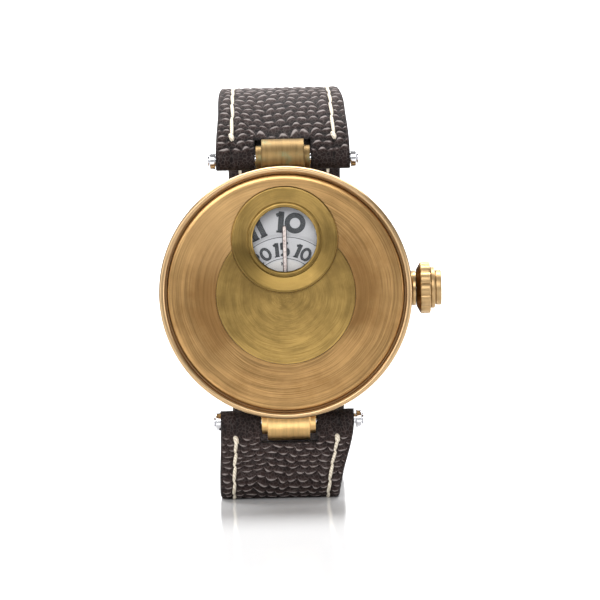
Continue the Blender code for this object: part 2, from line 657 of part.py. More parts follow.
def make_bar(name, bar_frame):
    """A steel bar, drilled at both ends for its screws."""
    bar = rod(name, "polished_steel", BAR_RADIUS, -BAR_HALF_LENGTH, BAR_HALF_LENGTH,
              parent=bar_frame)
    floor = BAR_HALF_LENGTH - BAR_SCREW_REACH - RUNNING
    for low, high in ((floor, BAR_HALF_LENGTH + OVERRUN), (-BAR_HALF_LENGTH - OVERRUN, -floor)):
        cut(bar, rod("cut_bar_thread", None, BAR_SCREW_RADIUS + RUNNING, low, high,
                     parent=bar_frame, sides=TINY_ROUND))
    return bar


def make_bar_screws():
    """The four stepped screw heads at the ends of the bars."""
    face = BAR_HALF_LENGTH + SEAT_GAP
    head = face + BAR_HEAD_LENGTH
    tip = head + BAR_TIP_LENGTH
    inner = BAR_HALF_LENGTH - BAR_SCREW_REACH
    shape = [(0.0, tip), (BAR_TIP_RADIUS, tip), (BAR_TIP_RADIUS, head), (BAR_HEAD_RADIUS, head),
             (BAR_HEAD_RADIUS, face), (BAR_SCREW_RADIUS, face), (BAR_SCREW_RADIUS, inner),
             (0.0, inner)]
    for level, bar_frame in (("upper", UPPER_BAR), ("lower", LOWER_BAR)):
        for side, turn in (("right", 0.0), ("left", math.pi)):
            screw = turned(f"{level}_bar_screw_{side}", "polished_steel", shape, SMALL_ROUND,
                           parent=bar_frame)
            screw.rotation_euler = (turn, 0.0, 0.0)


# Strap loop, as depths and heights of the middle of the leather round the wrist
LOOP_CREST_DEPTH = 31.0 * MM
LOOP_TOP = 34.2 * MM
LOOP_BACK_DEPTH = 56.0 * MM
BACK_RUN_TOP = 14.2 * MM
BACK_RUN_BOTTOM = -14.0 * MM
FOOT_FRONT_RADIUS = 4.0 * MM
FOOT_BACK_DEPTH = 36.0 * MM
LEAN_SHARE = 0.02
GUIDE_STEPS = 24
LOOP_RADIUS = 2.2 * MM
STRAP_EDGE = 0.5 * MM
STRAP_SHORT_THICKNESS = 2.6 * MM
TAIL_THICKNESS = 2.4 * MM
FOLD_RADIUS = 2.0 * MM
PIN_RADIUS = 0.8 * MM
PIN_HEIGHT = -2.0 * MM
TAPER_LENGTH = 14.0 * MM
LOOP_FADE = 8.0 * MM
STRAP_GAP = 0.25 * MM
TAIL_JOG_START = -11.0 * MM
TAIL_JOG_END = -3.0 * MM
TAIL_SETTLE = 3.0 * MM
TAIL_PAST_RUN = 15.0 * MM
SKEW = 1.6 * MM
SKEW_RISE = 12.0 * MM
SKEW_FALL = 30.0 * MM
STATION_STEP = 6.0 * MM
STATION_TURN = math.radians(13)
NOTCH_GAP = 0.18 * MM


def guide():
    """The middle line of the strap loop as depth, height and distance run: over the top from
    the upper bar, down the back, along the foot and up to the lower bar. Each bend is a
    quarter of an ellipse, and the first starts where it passes the bar."""
    loop_bottom = STRAP_THICKNESS / 2 - AXIS_HEIGHT
    start = math.acos(1 / (1 + LEAN_SHARE))
    front_axis = (LOOP_CREST_DEPTH - BAR_DEPTH) * (1 + LEAN_SHARE)
    front_rise = (LOOP_TOP - BAR_HEIGHT) / (1 - math.sin(start))
    foot_front = BAR_DEPTH + FOOT_FRONT_RADIUS
    turn = np.linspace(0.0, UP, GUIDE_STEPS)
    opening = np.linspace(start, UP, GUIDE_STEPS)
    legs = [
        (LOOP_CREST_DEPTH - front_axis * np.cos(opening),
         LOOP_TOP - front_rise * (1 - np.sin(opening))),
        (LOOP_CREST_DEPTH + (LOOP_BACK_DEPTH - LOOP_CREST_DEPTH) * np.sin(turn),
         BACK_RUN_TOP + (LOOP_TOP - BACK_RUN_TOP) * np.cos(turn)),
        (FOOT_BACK_DEPTH + (LOOP_BACK_DEPTH - FOOT_BACK_DEPTH) * np.cos(turn),
         BACK_RUN_BOTTOM + (loop_bottom - BACK_RUN_BOTTOM) * np.sin(turn)),
        (foot_front - FOOT_FRONT_RADIUS * np.sin(turn),
         loop_bottom + FOOT_FRONT_RADIUS * (1 - np.cos(turn))),
        (np.array([BAR_DEPTH]), np.array([-BAR_HEIGHT])),
    ]
    depth = np.concatenate([leg[0] for leg in legs])
    height = np.concatenate([leg[1] for leg in legs])
    step = np.hypot(np.diff(depth), np.diff(height))
    keep = np.concatenate([[True], step > MERGE])
    depth, height = depth[keep], height[keep]
    run = np.concatenate([[0.0], np.cumsum(np.hypot(np.diff(depth), np.diff(height)))])
    return depth, height, run


def on_guide(run, offset):
    """Depth, height and outward direction at a distance run, moved outwards by an offset. Past
    either end the line goes on straight."""
    depths, heights, runs = GUIDE
    last = runs[-1]
    inside = min(max(run, 0.0), last)
    nearby = np.clip([inside - STRAP_EDGE, inside + STRAP_EDGE], 0.0, last)
    ahead = [np.interp(nearby, runs, line) for line in (depths, heights)]
    along = np.array([ahead[0][1] - ahead[0][0], ahead[1][1] - ahead[1][0]])
    along /= np.linalg.norm(along)
    outward = np.array([-along[1], along[0]])
    here = np.array([np.interp(inside, runs, depths), np.interp(inside, runs, heights)])
    return here + along * (run - inside) + outward * offset, outward


def stations_between(first, last):
    """Distances run from first to last: further apart where the loop is straight, closer
    where it turns."""
    depths, heights, runs = GUIDE
    slope = np.unwrap(np.arctan2(np.diff(heights), np.diff(depths)))
    turned_by = np.concatenate([[0.0, 0.0], np.cumsum(np.abs(np.diff(slope)))])
    cost = runs / STATION_STEP + turned_by / STATION_TURN
    ends = np.interp([first, last], runs, cost)
    count = max(2, int(abs(ends[1] - ends[0])))
    return [float(run) for run in np.interp(np.linspace(*ends, count + 1), cost, runs)]


def run_at_height(height):
    """The distance run where the loop's straight back stretch is at a height."""
    depths, heights, runs = GUIDE
    back = depths > LOOP_BACK_DEPTH - LAP
    order = np.argsort(heights[back])
    return float(np.interp(height, heights[back][order], runs[back][order]))


def smooth(value):
    """0 to 1 with flat ends."""
    value = min(max(value, 0.0), 1.0)
    return value * value * (3 - 2 * value)


def mix(low, high, share):
    return low + (high - low) * share


GUIDE = guide()
LOOP_RUN = float(GUIDE[2][-1])
PIN_RUN = run_at_height(PIN_HEIGHT)
PIN_DEPTH = LOOP_BACK_DEPTH


def half_width(from_bar):
    """The strap is widest at the bar and soon narrows to its own width."""
    return mix(STRAP_WIDTH_AT_BAR, STRAP_WIDTH, smooth(from_bar / TAPER_LENGTH)) / 2


def strap_piece(name, stations):
    """A strap half lofted through stations of (run, offset, thickness, half width, shift):
    a rectangle with eased corners, square to the loop, at each."""
    rings = []
    for run, offset, thickness, half, shift in stations:
        here, outward = on_guide(run, offset)
        ease = min(STRAP_EDGE, thickness / 4, half / 2)
        up = thickness / 2
        section = [(half - ease, up), (half, up - ease), (half, ease - up), (half - ease, -up),
                   (ease - half, -up), (-half, ease - up), (-half, up - ease), (ease - half, up)]
        rings.append([(x + shift, *(here + outward * rise)) for x, rise in section])
    corners = len(rings[0])
    points = [p for ring in rings for p in ring]
    faces = [tuple(range(corners)), tuple(range(len(points) - corners, len(points)))]
    for i in range(len(rings) - 1):
        for j in range(corners):
            nxt = (j + 1) % corners
            faces.append((i * corners + j, i * corners + nxt, (i + 1) * corners + nxt,
                          (i + 1) * corners + j))
    mesh = bpy.data.meshes.new(name)
    mesh.from_pydata(points, [], faces)
    work = bmesh.new()
    work.from_mesh(mesh)
    bmesh.ops.recalc_face_normals(work, faces=work.faces)
    work.to_mesh(mesh)
    work.free()
    return place(mesh, name, "brown_leather", parent=STRAP)


ROUND_END_BEARINGS = [math.radians(degrees) for degrees in (75, 45, 20)]


def round_end(run, radius, direction):
    """Run and thickness of the stations that round off a folded end, from its tip inwards."""
    return [(run + direction * radius * math.sin(b), 2 * radius * math.cos(b))
            for b in ROUND_END_BEARINGS]


def bar_cutters(piece, bar_frame, side):
    """Clear the bar's hole and the notch for the lug's drum and collars."""
    top = side * (BAR_HEIGHT + DRUM_RADIUS + NOTCH_GAP)
    bottom = side * (BAR_HEIGHT - 2 * DRUM_RADIUS)
    half = COLLAR_HALF_WIDTH + NOTCH_GAP
    return cut(piece, rod("cut_bar_hole", None, BAR_RADIUS + RUNNING, -BAR_HALF_LENGTH - OVERRUN,
                          BAR_HALF_LENGTH + OVERRUN, parent=bar_frame),
               block("cut_lug_notch", None,
                     (-half, BAR_DEPTH - 2 * DRUM_RADIUS, min(top, bottom)),
                     (half, BAR_DEPTH + 2 * DRUM_RADIUS, max(top, bottom)), STRAP))


def pin_frame():
    """The buckle pin's axis, in the strap frame, with Z along it."""
    return frame("buckle_pin_frame", (0.0, PIN_DEPTH, PIN_HEIGHT), (0.0, UP, 0.0), STRAP)


PIN = pin_frame()
TONGUE_WIDTH = 2.2 * MM
TONGUE_SLOT = 0.4 * MM


def make_strap_upper():
    """The short half: round the upper bar, over the top and down to the buckle's pin."""
    stations = [(run, 0.0, thick, half_width(0.0), 0.0)
                for run, thick in round_end(0.0, LOOP_RADIUS, -1)]
    last = PIN_RUN - FOLD_RADIUS * 2
    for run in stations_between(0.0, last):
        body = mix(STRAP_THICKNESS, STRAP_SHORT_THICKNESS, smooth(run / last))
        thick = mix(2 * LOOP_RADIUS, body, smooth(run / LOOP_FADE))
        stations.append((run, 0.0, thick, half_width(run), 0.0))
    half = STRAP_WIDTH / 2 - STRAP_EDGE
    stations.append((PIN_RUN, 0.0, 2 * FOLD_RADIUS, half, 0.0))
    stations += [(run, 0.0, thick, half, 0.0)
                 for run, thick in reversed(round_end(PIN_RUN, FOLD_RADIUS, 1))]
    piece = strap_piece("strap_upper", stations)
    bar_cutters(piece, UPPER_BAR, 1)
    slot = TONGUE_WIDTH / 2 + TONGUE_SLOT
    cut(piece, rod("cut_pin_hole", None, PIN_RADIUS + RUNNING, -STRAP_WIDTH, STRAP_WIDTH,
                   parent=PIN),
        block("cut_tongue_slot", None,
              (-slot, PIN_DEPTH - 2 * FOLD_RADIUS, PIN_HEIGHT - 2 * FOLD_RADIUS),
              (slot, PIN_DEPTH + 2 * FOLD_RADIUS, PIN_HEIGHT + FOLD_RADIUS + NOTCH_GAP), STRAP))
    return piece


TAIL_TIP_SHARES = [(0.0, 1.0), (0.45, 0.93), (0.75, 0.72), (0.93, 0.42), (1.0, 0.2)]
TAIL_TIP_LENGTH = 9.0 * MM
JOG_SHARES = (0.0, 0.25, 0.5, 0.75, 1.0)
HOLE_RADIUS = 1.0 * MM
HOLE_SPACING = 6.5 * MM
TONGUE_HOLE_HEIGHT = -5.2 * MM
TONGUE_HOLE_LENGTH = 4.6 * MM
SPARE_HOLES = (1, 2, 3, -2)


def tail_offset(run):
    """How far the tail lies outside the short half: it slips under the buckle's bar, climbs
    over the pin, and settles on the short half above it."""
    over_pin = FOLD_RADIUS + STRAP_GAP + TAIL_THICKNESS / 2
    over_strap = (STRAP_SHORT_THICKNESS + TAIL_THICKNESS) / 2 + STRAP_GAP
    start, end = run_at_height(TAIL_JOG_START), run_at_height(TAIL_JOG_END)
    settled = run_at_height(TAIL_SETTLE)
    if run >= PIN_RUN:
        return over_pin * smooth((start - run) / (start - end))
    return mix(over_strap, over_pin, smooth((run - settled) / (PIN_RUN - settled)))


def make_strap_lower():
    """The long half: round the lower bar, along the foot, up through the buckle and over the
    short half to its tip."""
    stations = [(run, 0.0, thick, half_width(0.0), 0.0)
                for run, thick in round_end(LOOP_RUN, LOOP_RADIUS, 1)]
    foot_end = AXIS_HEIGHT - BAR_HEIGHT + FOOT_BACK_DEPTH - BAR_DEPTH
    tip = run_at_height(BACK_RUN_TOP) - TAIL_PAST_RUN
    taper_start = tip + TAIL_TIP_LENGTH
    jog = [PIN_RUN, run_at_height(TAIL_JOG_END), run_at_height(TAIL_SETTLE)]
    climb = [mix(jog[1], run_at_height(TAIL_JOG_START), share) for share in JOG_SHARES]
    runs = stations_between(LOOP_RUN, climb[-1]) + climb[-2:0:-1] + [jog[1], jog[0]]
    for run in runs + stations_between(jog[2], taper_start):
        from_bar = LOOP_RUN - run
        past_foot = (from_bar - foot_end) / (LOOP_RUN - PIN_RUN - foot_end)
        body = mix(STRAP_THICKNESS, TAIL_THICKNESS, smooth(past_foot))
        thick = mix(2 * LOOP_RADIUS, body, smooth(from_bar / LOOP_FADE))
        back = smooth((from_bar - SKEW_RISE) / SKEW_FALL)
        shift = -SKEW * smooth(from_bar / SKEW_RISE) * (1 - back)
        stations.append((run, tail_offset(run), thick, half_width(from_bar), shift))
    for along, share in TAIL_TIP_SHARES[1:]:
        run = taper_start - TAIL_TIP_LENGTH * along
        stations.append((run, tail_offset(run), TAIL_THICKNESS, STRAP_WIDTH / 2 * share, 0.0))
    piece = strap_piece("strap_lower", stations)
    bar_cutters(piece, LOWER_BAR, -1)
    deep = LOOP_BACK_DEPTH - 3 * TAIL_THICKNESS
    far = LOOP_BACK_DEPTH + 4 * TAIL_THICKNESS
    for step in SPARE_HOLES:
        hole = rod("cut_strap_hole", None, HOLE_RADIUS, -far, -deep, sides=TINY_ROUND)
        hole.location = (0.0, TONGUE_HOLE_HEIGHT + step * HOLE_SPACING, 0.0)
        cut(piece, hole)
    half = TONGUE_WIDTH / 2 + TONGUE_SLOT
    cut(piece, block("cut_tongue_hole", None,
                     (-half, deep, TONGUE_HOLE_HEIGHT - TONGUE_HOLE_LENGTH / 2),
                     (half, far, TONGUE_HOLE_HEIGHT + TONGUE_HOLE_LENGTH / 2), STRAP))
    return piece


# Keepers and buckle
KEEPER_WALL = 1.2 * MM
KEEPER_GAP = 0.32 * MM
KEEPER_HEIGHT = 5.0 * MM
FIXED_KEEPER_LOW = 2.5 * MM
FREE_KEEPER_LOW = 9.4 * MM
FRAME_WIRE = 1.2 * MM
FRAME_SIDE = 12.3 * MM
FRAME_BAR_HEIGHT = -13.0 * MM
EAR_RADIUS = 1.7 * MM
EAR_WIDTH = 2.4 * MM
PIN_HALF_LENGTH = 13.3 * MM
TONGUE_THICKNESS = 1.0 * MM
TONGUE_EYE_RADIUS = 1.55 * MM
TONGUE_JOG_HEIGHT = -6.4 * MM
TONGUE_OVERHANG = 1.7 * MM
CORNER_SHARES = [(0.0, 0.0), (0.3, 0.04), (0.7, 0.3), (0.96, 0.7), (1.0, 1.0)]
FRAME_CORNER = 1.6 * MM


def rounded_rectangle(half, near, far, corner):
    """An outline in X and depth with its four corners eased."""
    return [(half, near + corner), (half, far - corner), (half - corner, far),
            (corner - half, far), (-half, far - corner), (-half, near + corner),
            (corner - half, near), (half - corner, near)]


def make_keeper(name, low):
    """A leather loop round both layers of the strap."""
    near = LOOP_BACK_DEPTH - STRAP_SHORT_THICKNESS / 2 - KEEPER_GAP
    far = LOOP_BACK_DEPTH + STRAP_SHORT_THICKNESS / 2 + STRAP_GAP + TAIL_THICKNESS + KEEPER_GAP
    half = STRAP_WIDTH / 2 + KEEPER_GAP
    outer = rounded_rectangle(half + KEEPER_WALL, near - KEEPER_WALL, far + KEEPER_WALL,
                              KEEPER_WALL)
    inner = rounded_rectangle(half, near, far, STRAP_EDGE / 2)
    return plate(name, "brown_leather", [outer, inner], low, low + KEEPER_HEIGHT, parent=STRAP)


def frame_bar_depth():
    """The buckle's far bar lies on the outside of the strap that slips under it."""
    return LOOP_BACK_DEPTH + TAIL_THICKNESS / 2 + KEEPER_GAP + FRAME_WIRE


def make_buckle():
    """The wire buckle frame with its two ears, the pin they turn on, and the tongue."""
    bar = frame_bar_depth()
    run = FRAME_BAR_HEIGHT + FRAME_CORNER
    side = [(FRAME_SIDE, PIN_DEPTH, PIN_HEIGHT), (FRAME_SIDE, bar, run)]
    corner = [(FRAME_SIDE - FRAME_CORNER * x, bar, run - FRAME_CORNER * z)
              for x, z in CORNER_SHARES[1:]]
    right = side + corner
    points = right + [(-x, y, z) for x, y, z in reversed(right)]
    curve = bpy.data.curves.new("buckle_frame", "CURVE")
    curve.dimensions = "3D"
    curve.bevel_depth = FRAME_WIRE
    curve.bevel_resolution = 2
    curve.use_fill_caps = True
    spline = curve.splines.new("POLY")
    spline.points.add(len(points) - 1)
    spline.points.foreach_set("co", [v for x, y, z in points for v in (x, y, z, 1.0)])
    maker = bpy.data.objects.new("buckle_frame_wire", curve)
    PIECES.objects.link(maker)
    graph = bpy.context.evaluated_depsgraph_get()
    mesh = bpy.data.meshes.new_from_object(maker.evaluated_get(graph))
    bpy.data.objects.remove(maker, do_unlink=True)
    bpy.data.curves.remove(curve)
    work = bmesh.new()
    work.from_mesh(mesh)
    bmesh.ops.remove_doubles(work, verts=work.verts, dist=MERGE)
    bmesh.ops.translate(work, verts=work.verts, vec=(0.0, -PIN_DEPTH, -PIN_HEIGHT))
    bmesh.ops.recalc_face_normals(work, faces=work.faces)
    work.to_mesh(mesh)
    work.free()
    buckle = place(mesh, "buckle_frame", "dish_bronze", parent=STRAP)
    buckle.location = (0.0, PIN_DEPTH, PIN_HEIGHT)
    for middle in (FRAME_SIDE, -FRAME_SIDE):
        join(buckle, rod("join_ear", None, EAR_RADIUS, middle - EAR_WIDTH / 2,
                         middle + EAR_WIDTH / 2, parent=PIN))
    cut(buckle, rod("cut_ear_hole", None, PIN_RADIUS + RUNNING, -PIN_HALF_LENGTH - OVERRUN,
                    PIN_HALF_LENGTH + OVERRUN, parent=PIN))
    rod("buckle_pin", "polished_steel", PIN_RADIUS, -PIN_HALF_LENGTH, PIN_HALF_LENGTH, parent=PIN,
        sides=SMALL_ROUND)
    make_tongue(bar)


def make_tongue(bar):
    """The tongue: an eye round the pin, a leg out through the strap's hole, and a blade that
    rests on the frame's far bar. Its outline is in height and depth from the pin."""
    outer = bar + FRAME_WIRE + SEAT_GAP * 2 - PIN_DEPTH
    reach = FRAME_BAR_HEIGHT - TONGUE_OVERHANG - PIN_HEIGHT
    knee = TONGUE_JOG_HEIGHT - PIN_HEIGHT
    eye = TONGUE_EYE_RADIUS
    side_view = [
        (-eye, TONGUE_THICKNESS / 2), (knee + TONGUE_THICKNESS, outer + TONGUE_THICKNESS),
        (reach, outer + TONGUE_THICKNESS * 0.8), (reach, outer),
        (knee - TONGUE_THICKNESS / 2, outer), (-eye / 2, -eye / 2), (eye / 2, 0.0),
    ]
    outline = [(-height, depth) for height, depth in side_view]
    leg = plate("buckle_tongue", "dish_bronze", [outline], -TONGUE_WIDTH / 2, TONGUE_WIDTH / 2,
                parent=PIN, smooth=False)
    join(leg, rod("join_tongue_eye", None, eye, -TONGUE_WIDTH / 2, TONGUE_WIDTH / 2, parent=PIN))
    cut(leg, rod("cut_tongue_eye", None, PIN_RADIUS + RUNNING, -TONGUE_WIDTH, TONGUE_WIDTH,
                 parent=PIN))


# Movement: plate, ring and bridges. The escapement lies between the plate and the balance.
ESCAPE_DEPTH = PLATE_BACK + DISC_GAP * 2
ESCAPE_THICKNESS = 0.2 * MM
ROLLER_DEPTH = ESCAPE_DEPTH + ESCAPE_THICKNESS + RUNNING
ROLLER_HEIGHT = 0.2 * MM
PALLET_BRIDGE_DEPTH = ROLLER_DEPTH + ROLLER_HEIGHT + RUNNING
PALLET_BRIDGE_THICKNESS = 0.4 * MM
BALANCE_DEPTH = PALLET_BRIDGE_DEPTH + PALLET_BRIDGE_THICKNESS + DISC_GAP
BALANCE_RIM_HEIGHT = 0.5 * MM
HAIRSPRING_DEPTH = BALANCE_DEPTH + BALANCE_RIM_HEIGHT + DISC_GAP * 2
PIVOT_RADIUS = MOVEMENT_RADIUS * 0.00993
PIVOT_LENGTH = 0.4 * MM
ARBOR_RADIUS = MOVEMENT_RADIUS * 0.01987
CENTRE_TUBE_RADIUS = MOVEMENT_RADIUS * 0.03642
CENTRE_TUBE_BORE = MOVEMENT_RADIUS * 0.02119
KEYLESS_SLOT_START = MOVEMENT_RADIUS * 0.662
KEYLESS_SLOT_HALF_WIDTH = 1.8 * MM
BARREL_ARBOR_RADIUS = 0.62 * MM
BRIDGE_SCREW_RADIUS = 0.3 * MM
BRIDGE_SCREW_HEAD = 0.65 * MM
BRIDGE_SCREW_REACH = 1.6 * MM
FOOT_RADIUS = 0.8 * MM
RIM_SIDES = 12
PALLET_DISTANCE = MOVEMENT_RADIUS * 0.1987
PALLET_FOOT_DISTANCE = MOVEMENT_RADIUS * 0.172
BARREL_FEET_SHARES = [(0.934, 95), (0.874, 120), (0.861, 22)]
TRAIN_FEET_SHARES = [(0.901, 175), (0.887, 255), (0.901, 215)]
COCK_FEET_SHARES = [(0.868, -22), (0.927, -80)]


def line_bearing(start, end):
    """The bearing from one point to another."""
    return math.atan2(end[1] - start[1], end[0] - start[0])


PALLET_BEARING = line_bearing(ESCAPE_AT, BALANCE_AT)
PALLET_AT = polar(PALLET_DISTANCE, PALLET_BEARING, ESCAPE_AT)
PALLET_FEET = [polar(PALLET_FOOT_DISTANCE, PALLET_BEARING + side * UP, PALLET_AT)
               for side in (1, -1)]


def on_plan(spots):
    """Points of the movement's plan, from shares of its radius and bearings in degrees."""
    return [polar(MOVEMENT_RADIUS * share, math.radians(degrees)) for share, degrees in spots]


def make_main_plate():
    """The main plate, drilled for pivots and arbors, and slotted for the keyless work."""
    holes = [circle(PIVOT_RADIUS + RUNNING, TINY_ROUND, at)
             for at in (THIRD_AT, ESCAPE_AT, PALLET_AT, BALANCE_AT)]
    holes.append(circle(CENTRE_TUBE_RADIUS + RUNNING, SMALL_ROUND))
    holes.append(circle(BARREL_ARBOR_RADIUS + RUNNING, SMALL_ROUND, BARREL_AT))
    holes.append(circle(ARBOR_RADIUS + RUNNING, TINY_ROUND, MINUTE_WHEEL_AT))
    disc = plate("main_plate", "gilt_plate", [circle(MOVEMENT_RADIUS, BIG_ROUND)] + holes,
                 -PLATE_BACK, -PLATE_DEPTH)
    return cut(disc, block("cut_keyless_slot", None,
                           (KEYLESS_SLOT_START, -KEYLESS_SLOT_HALF_WIDTH, -PLATE_BACK - OVERRUN),
                           (MOVEMENT_RADIUS + OVERRUN, KEYLESS_SLOT_HALF_WIDTH,
                            OVERRUN - PLATE_DEPTH)))


def make_movement_ring():
    """The ring that centres the movement in the case, open where the stem passes."""
    inner = MOVEMENT_RADIUS + RING_GAP
    outer = inner + RING_WALL
    back = MOVEMENT_RING_BACK
    profile = [(outer, PLATE_DEPTH), (outer, back), (inner, back), (inner, PLATE_DEPTH)]
    ring = turned("movement_ring", "gilt_plate", from_front(profile), BIG_ROUND)
    return cut(ring, block("cut_ring_slot", None,
                           (MOVEMENT_RADIUS - OVERRUN, -KEYLESS_SLOT_HALF_WIDTH,
                            -back - OVERRUN),
                           (outer + OVERRUN, KEYLESS_SLOT_HALF_WIDTH, OVERRUN - PLATE_DEPTH)))


def arc_points(radius, first, last, count):
    """Points along an arc, degrees from first to last."""
    return [polar(radius, math.radians(mix(first, last, i / (count - 1)))) for i in range(count)]


def bridge(name, outline, feet, holes):
    """A flat bridge on round feet that reach down to the main plate."""
    openings = [circle(radius, SMALL_ROUND, at) for at, radius in holes]
    piece = plate(name, "gilt_plate", [outline] + openings, -BRIDGE_BACK, -BRIDGE_DEPTH)
    for at in feet:
        foot = rod("join_bridge_foot", None, FOOT_RADIUS, -BRIDGE_DEPTH - LAP,
                   -PLATE_BACK - SEAT_GAP, at, sides=TINY_ROUND)
        join(piece, foot)
    return cut(piece, rod("cut_bridge_screw", None, BRIDGE_SCREW_RADIUS + RUNNING,
                          -BRIDGE_BACK - OVERRUN, -BRIDGE_BACK + BRIDGE_SCREW_REACH, feet[0],
                          sides=TINY_ROUND))


BARREL_BRIDGE_ARC = (-12, 140)
TRAIN_BRIDGE_ARC = (152, 262)
COCK_ARC = (-84, -18)
TRAIN_BRIDGE_INNER_SHARES = [(0.51, -65.4), (0.379, -53.5), (0.155, 46.7)]
COCK_INNER_SHARES = [(0.675, -19.5), (0.546, -50.9), (0.686, -67.9)]


def make_bridges():
    """The barrel bridge, the train bridge, the balance cock and the small pallet bridge."""
    rim = MOVEMENT_RADIUS - RING_GAP
    pivot = PIVOT_RADIUS + RUNNING
    bridge("barrel_bridge", arc_points(rim, *BARREL_BRIDGE_ARC, RIM_SIDES * 2),
           on_plan(BARREL_FEET_SHARES),
           [(BARREL_AT, BARREL_ARBOR_RADIUS + RUNNING), (CROWN_WHEEL_AT, ARBOR_RADIUS + RUNNING),
            (CLICK_AT, BRIDGE_SCREW_RADIUS + RUNNING)])
    bridge("train_bridge", arc_points(rim, *TRAIN_BRIDGE_ARC, RIM_SIDES)
           + on_plan(TRAIN_BRIDGE_INNER_SHARES),
           on_plan(TRAIN_FEET_SHARES), [((0.0, 0.0), pivot), (THIRD_AT, pivot), (ESCAPE_AT, pivot)])
    bridge("balance_cock", arc_points(rim, *COCK_ARC, RIM_SIDES)
           + on_plan(COCK_INNER_SHARES),
           on_plan(COCK_FEET_SHARES), [(BALANCE_AT, pivot)])
    low = -PALLET_BRIDGE_DEPTH - PALLET_BRIDGE_THICKNESS
    outline = []
    for side, end in ((1, PALLET_FEET[0]), (-1, PALLET_FEET[1])):
        for bearing in (-60, 0, 60):
            outline.append(polar(FOOT_RADIUS, PALLET_BEARING + side * UP + math.radians(bearing),
                                 end))
    piece = plate("pallet_bridge", "gilt_plate",
                  [outline, circle(PIVOT_RADIUS + RUNNING, TINY_ROUND, PALLET_AT)], low,
                  -PALLET_BRIDGE_DEPTH)
    for at in PALLET_FEET:
        join(piece, rod("join_pallet_foot", None, FOOT_RADIUS / 2, -PALLET_BRIDGE_DEPTH - LAP,
                        -PLATE_BACK - SEAT_GAP, at, sides=TINY_ROUND))


def make_bridge_screws():
    """The blued screw in the first foot of each bridge. The other feet are steady feet."""
    head = BRIDGE_BACK + SEAT_GAP
    end = BRIDGE_BACK - BRIDGE_SCREW_REACH + SEAT_GAP
    shape = [(0.0, end), (BRIDGE_SCREW_RADIUS, end), (BRIDGE_SCREW_RADIUS, head),
             (BRIDGE_SCREW_HEAD, head), (BRIDGE_SCREW_HEAD, head + SCREW_HEAD_HEIGHT),
             (0.0, head + SCREW_HEAD_HEIGHT)]
    for name, feet in (("barrel_bridge_screw", BARREL_FEET_SHARES),
                       ("train_bridge_screw", TRAIN_FEET_SHARES),
                       ("balance_cock_screw", COCK_FEET_SHARES)):
        turned(name, "blued_steel", from_front(shape), TINY_ROUND, on_plan(feet)[0])


# Going train, barrel and escapement
HUB_RADIUS = 0.9 * MM
WHEEL_RIM = 0.55 * MM
PINION_OVERHANG = 0.06 * MM


def wheel(name, finish, teeth, module, towards, front, at, gap=False, thickness=WHEEL_THICKNESS,
          hub=HUB_RADIUS, spoked=True, bore=None):
    """A toothed wheel, spoked unless it is small."""
    loops = [teeth_outline(teeth, module, towards, gap)]
    if bore:
        loops.append(circle(bore, SMALL_ROUND))
    if spoked:
        root = pitch_radius(module, teeth) - DEDENDUM_SHARE * module
        loops += spoke_windows(hub, root - WHEEL_RIM)
    return plate(name, finish, loops, -front - thickness, -front, at, smooth=False)


def leaves(name, teeth, module, towards, front, at, gap=True, thickness=WHEEL_THICKNESS,
           bore=None):
    """A pinion to be joined to its wheel, a little thicker than its mate at both faces."""
    loops = [teeth_outline(teeth, module, towards, gap)]
    if bore:
        loops.append(circle(bore, TINY_ROUND))
    return plate(name, None, loops, -front - thickness - PINION_OVERHANG,
                 PINION_OVERHANG - front, at, smooth=False)


def arbor(name, at, front, back, radius=ARBOR_RADIUS):
    """A plain arbor with a fine pivot at both ends."""
    tip = PIVOT_LENGTH
    shape = [(0.0, front - tip), (PIVOT_RADIUS, front - tip), (PIVOT_RADIUS, front),
             (radius, front), (radius, back), (PIVOT_RADIUS, back), (PIVOT_RADIUS, back + tip),
             (0.0, back + tip)]
    return turned(name, None, from_front(shape), TINY_ROUND, at)


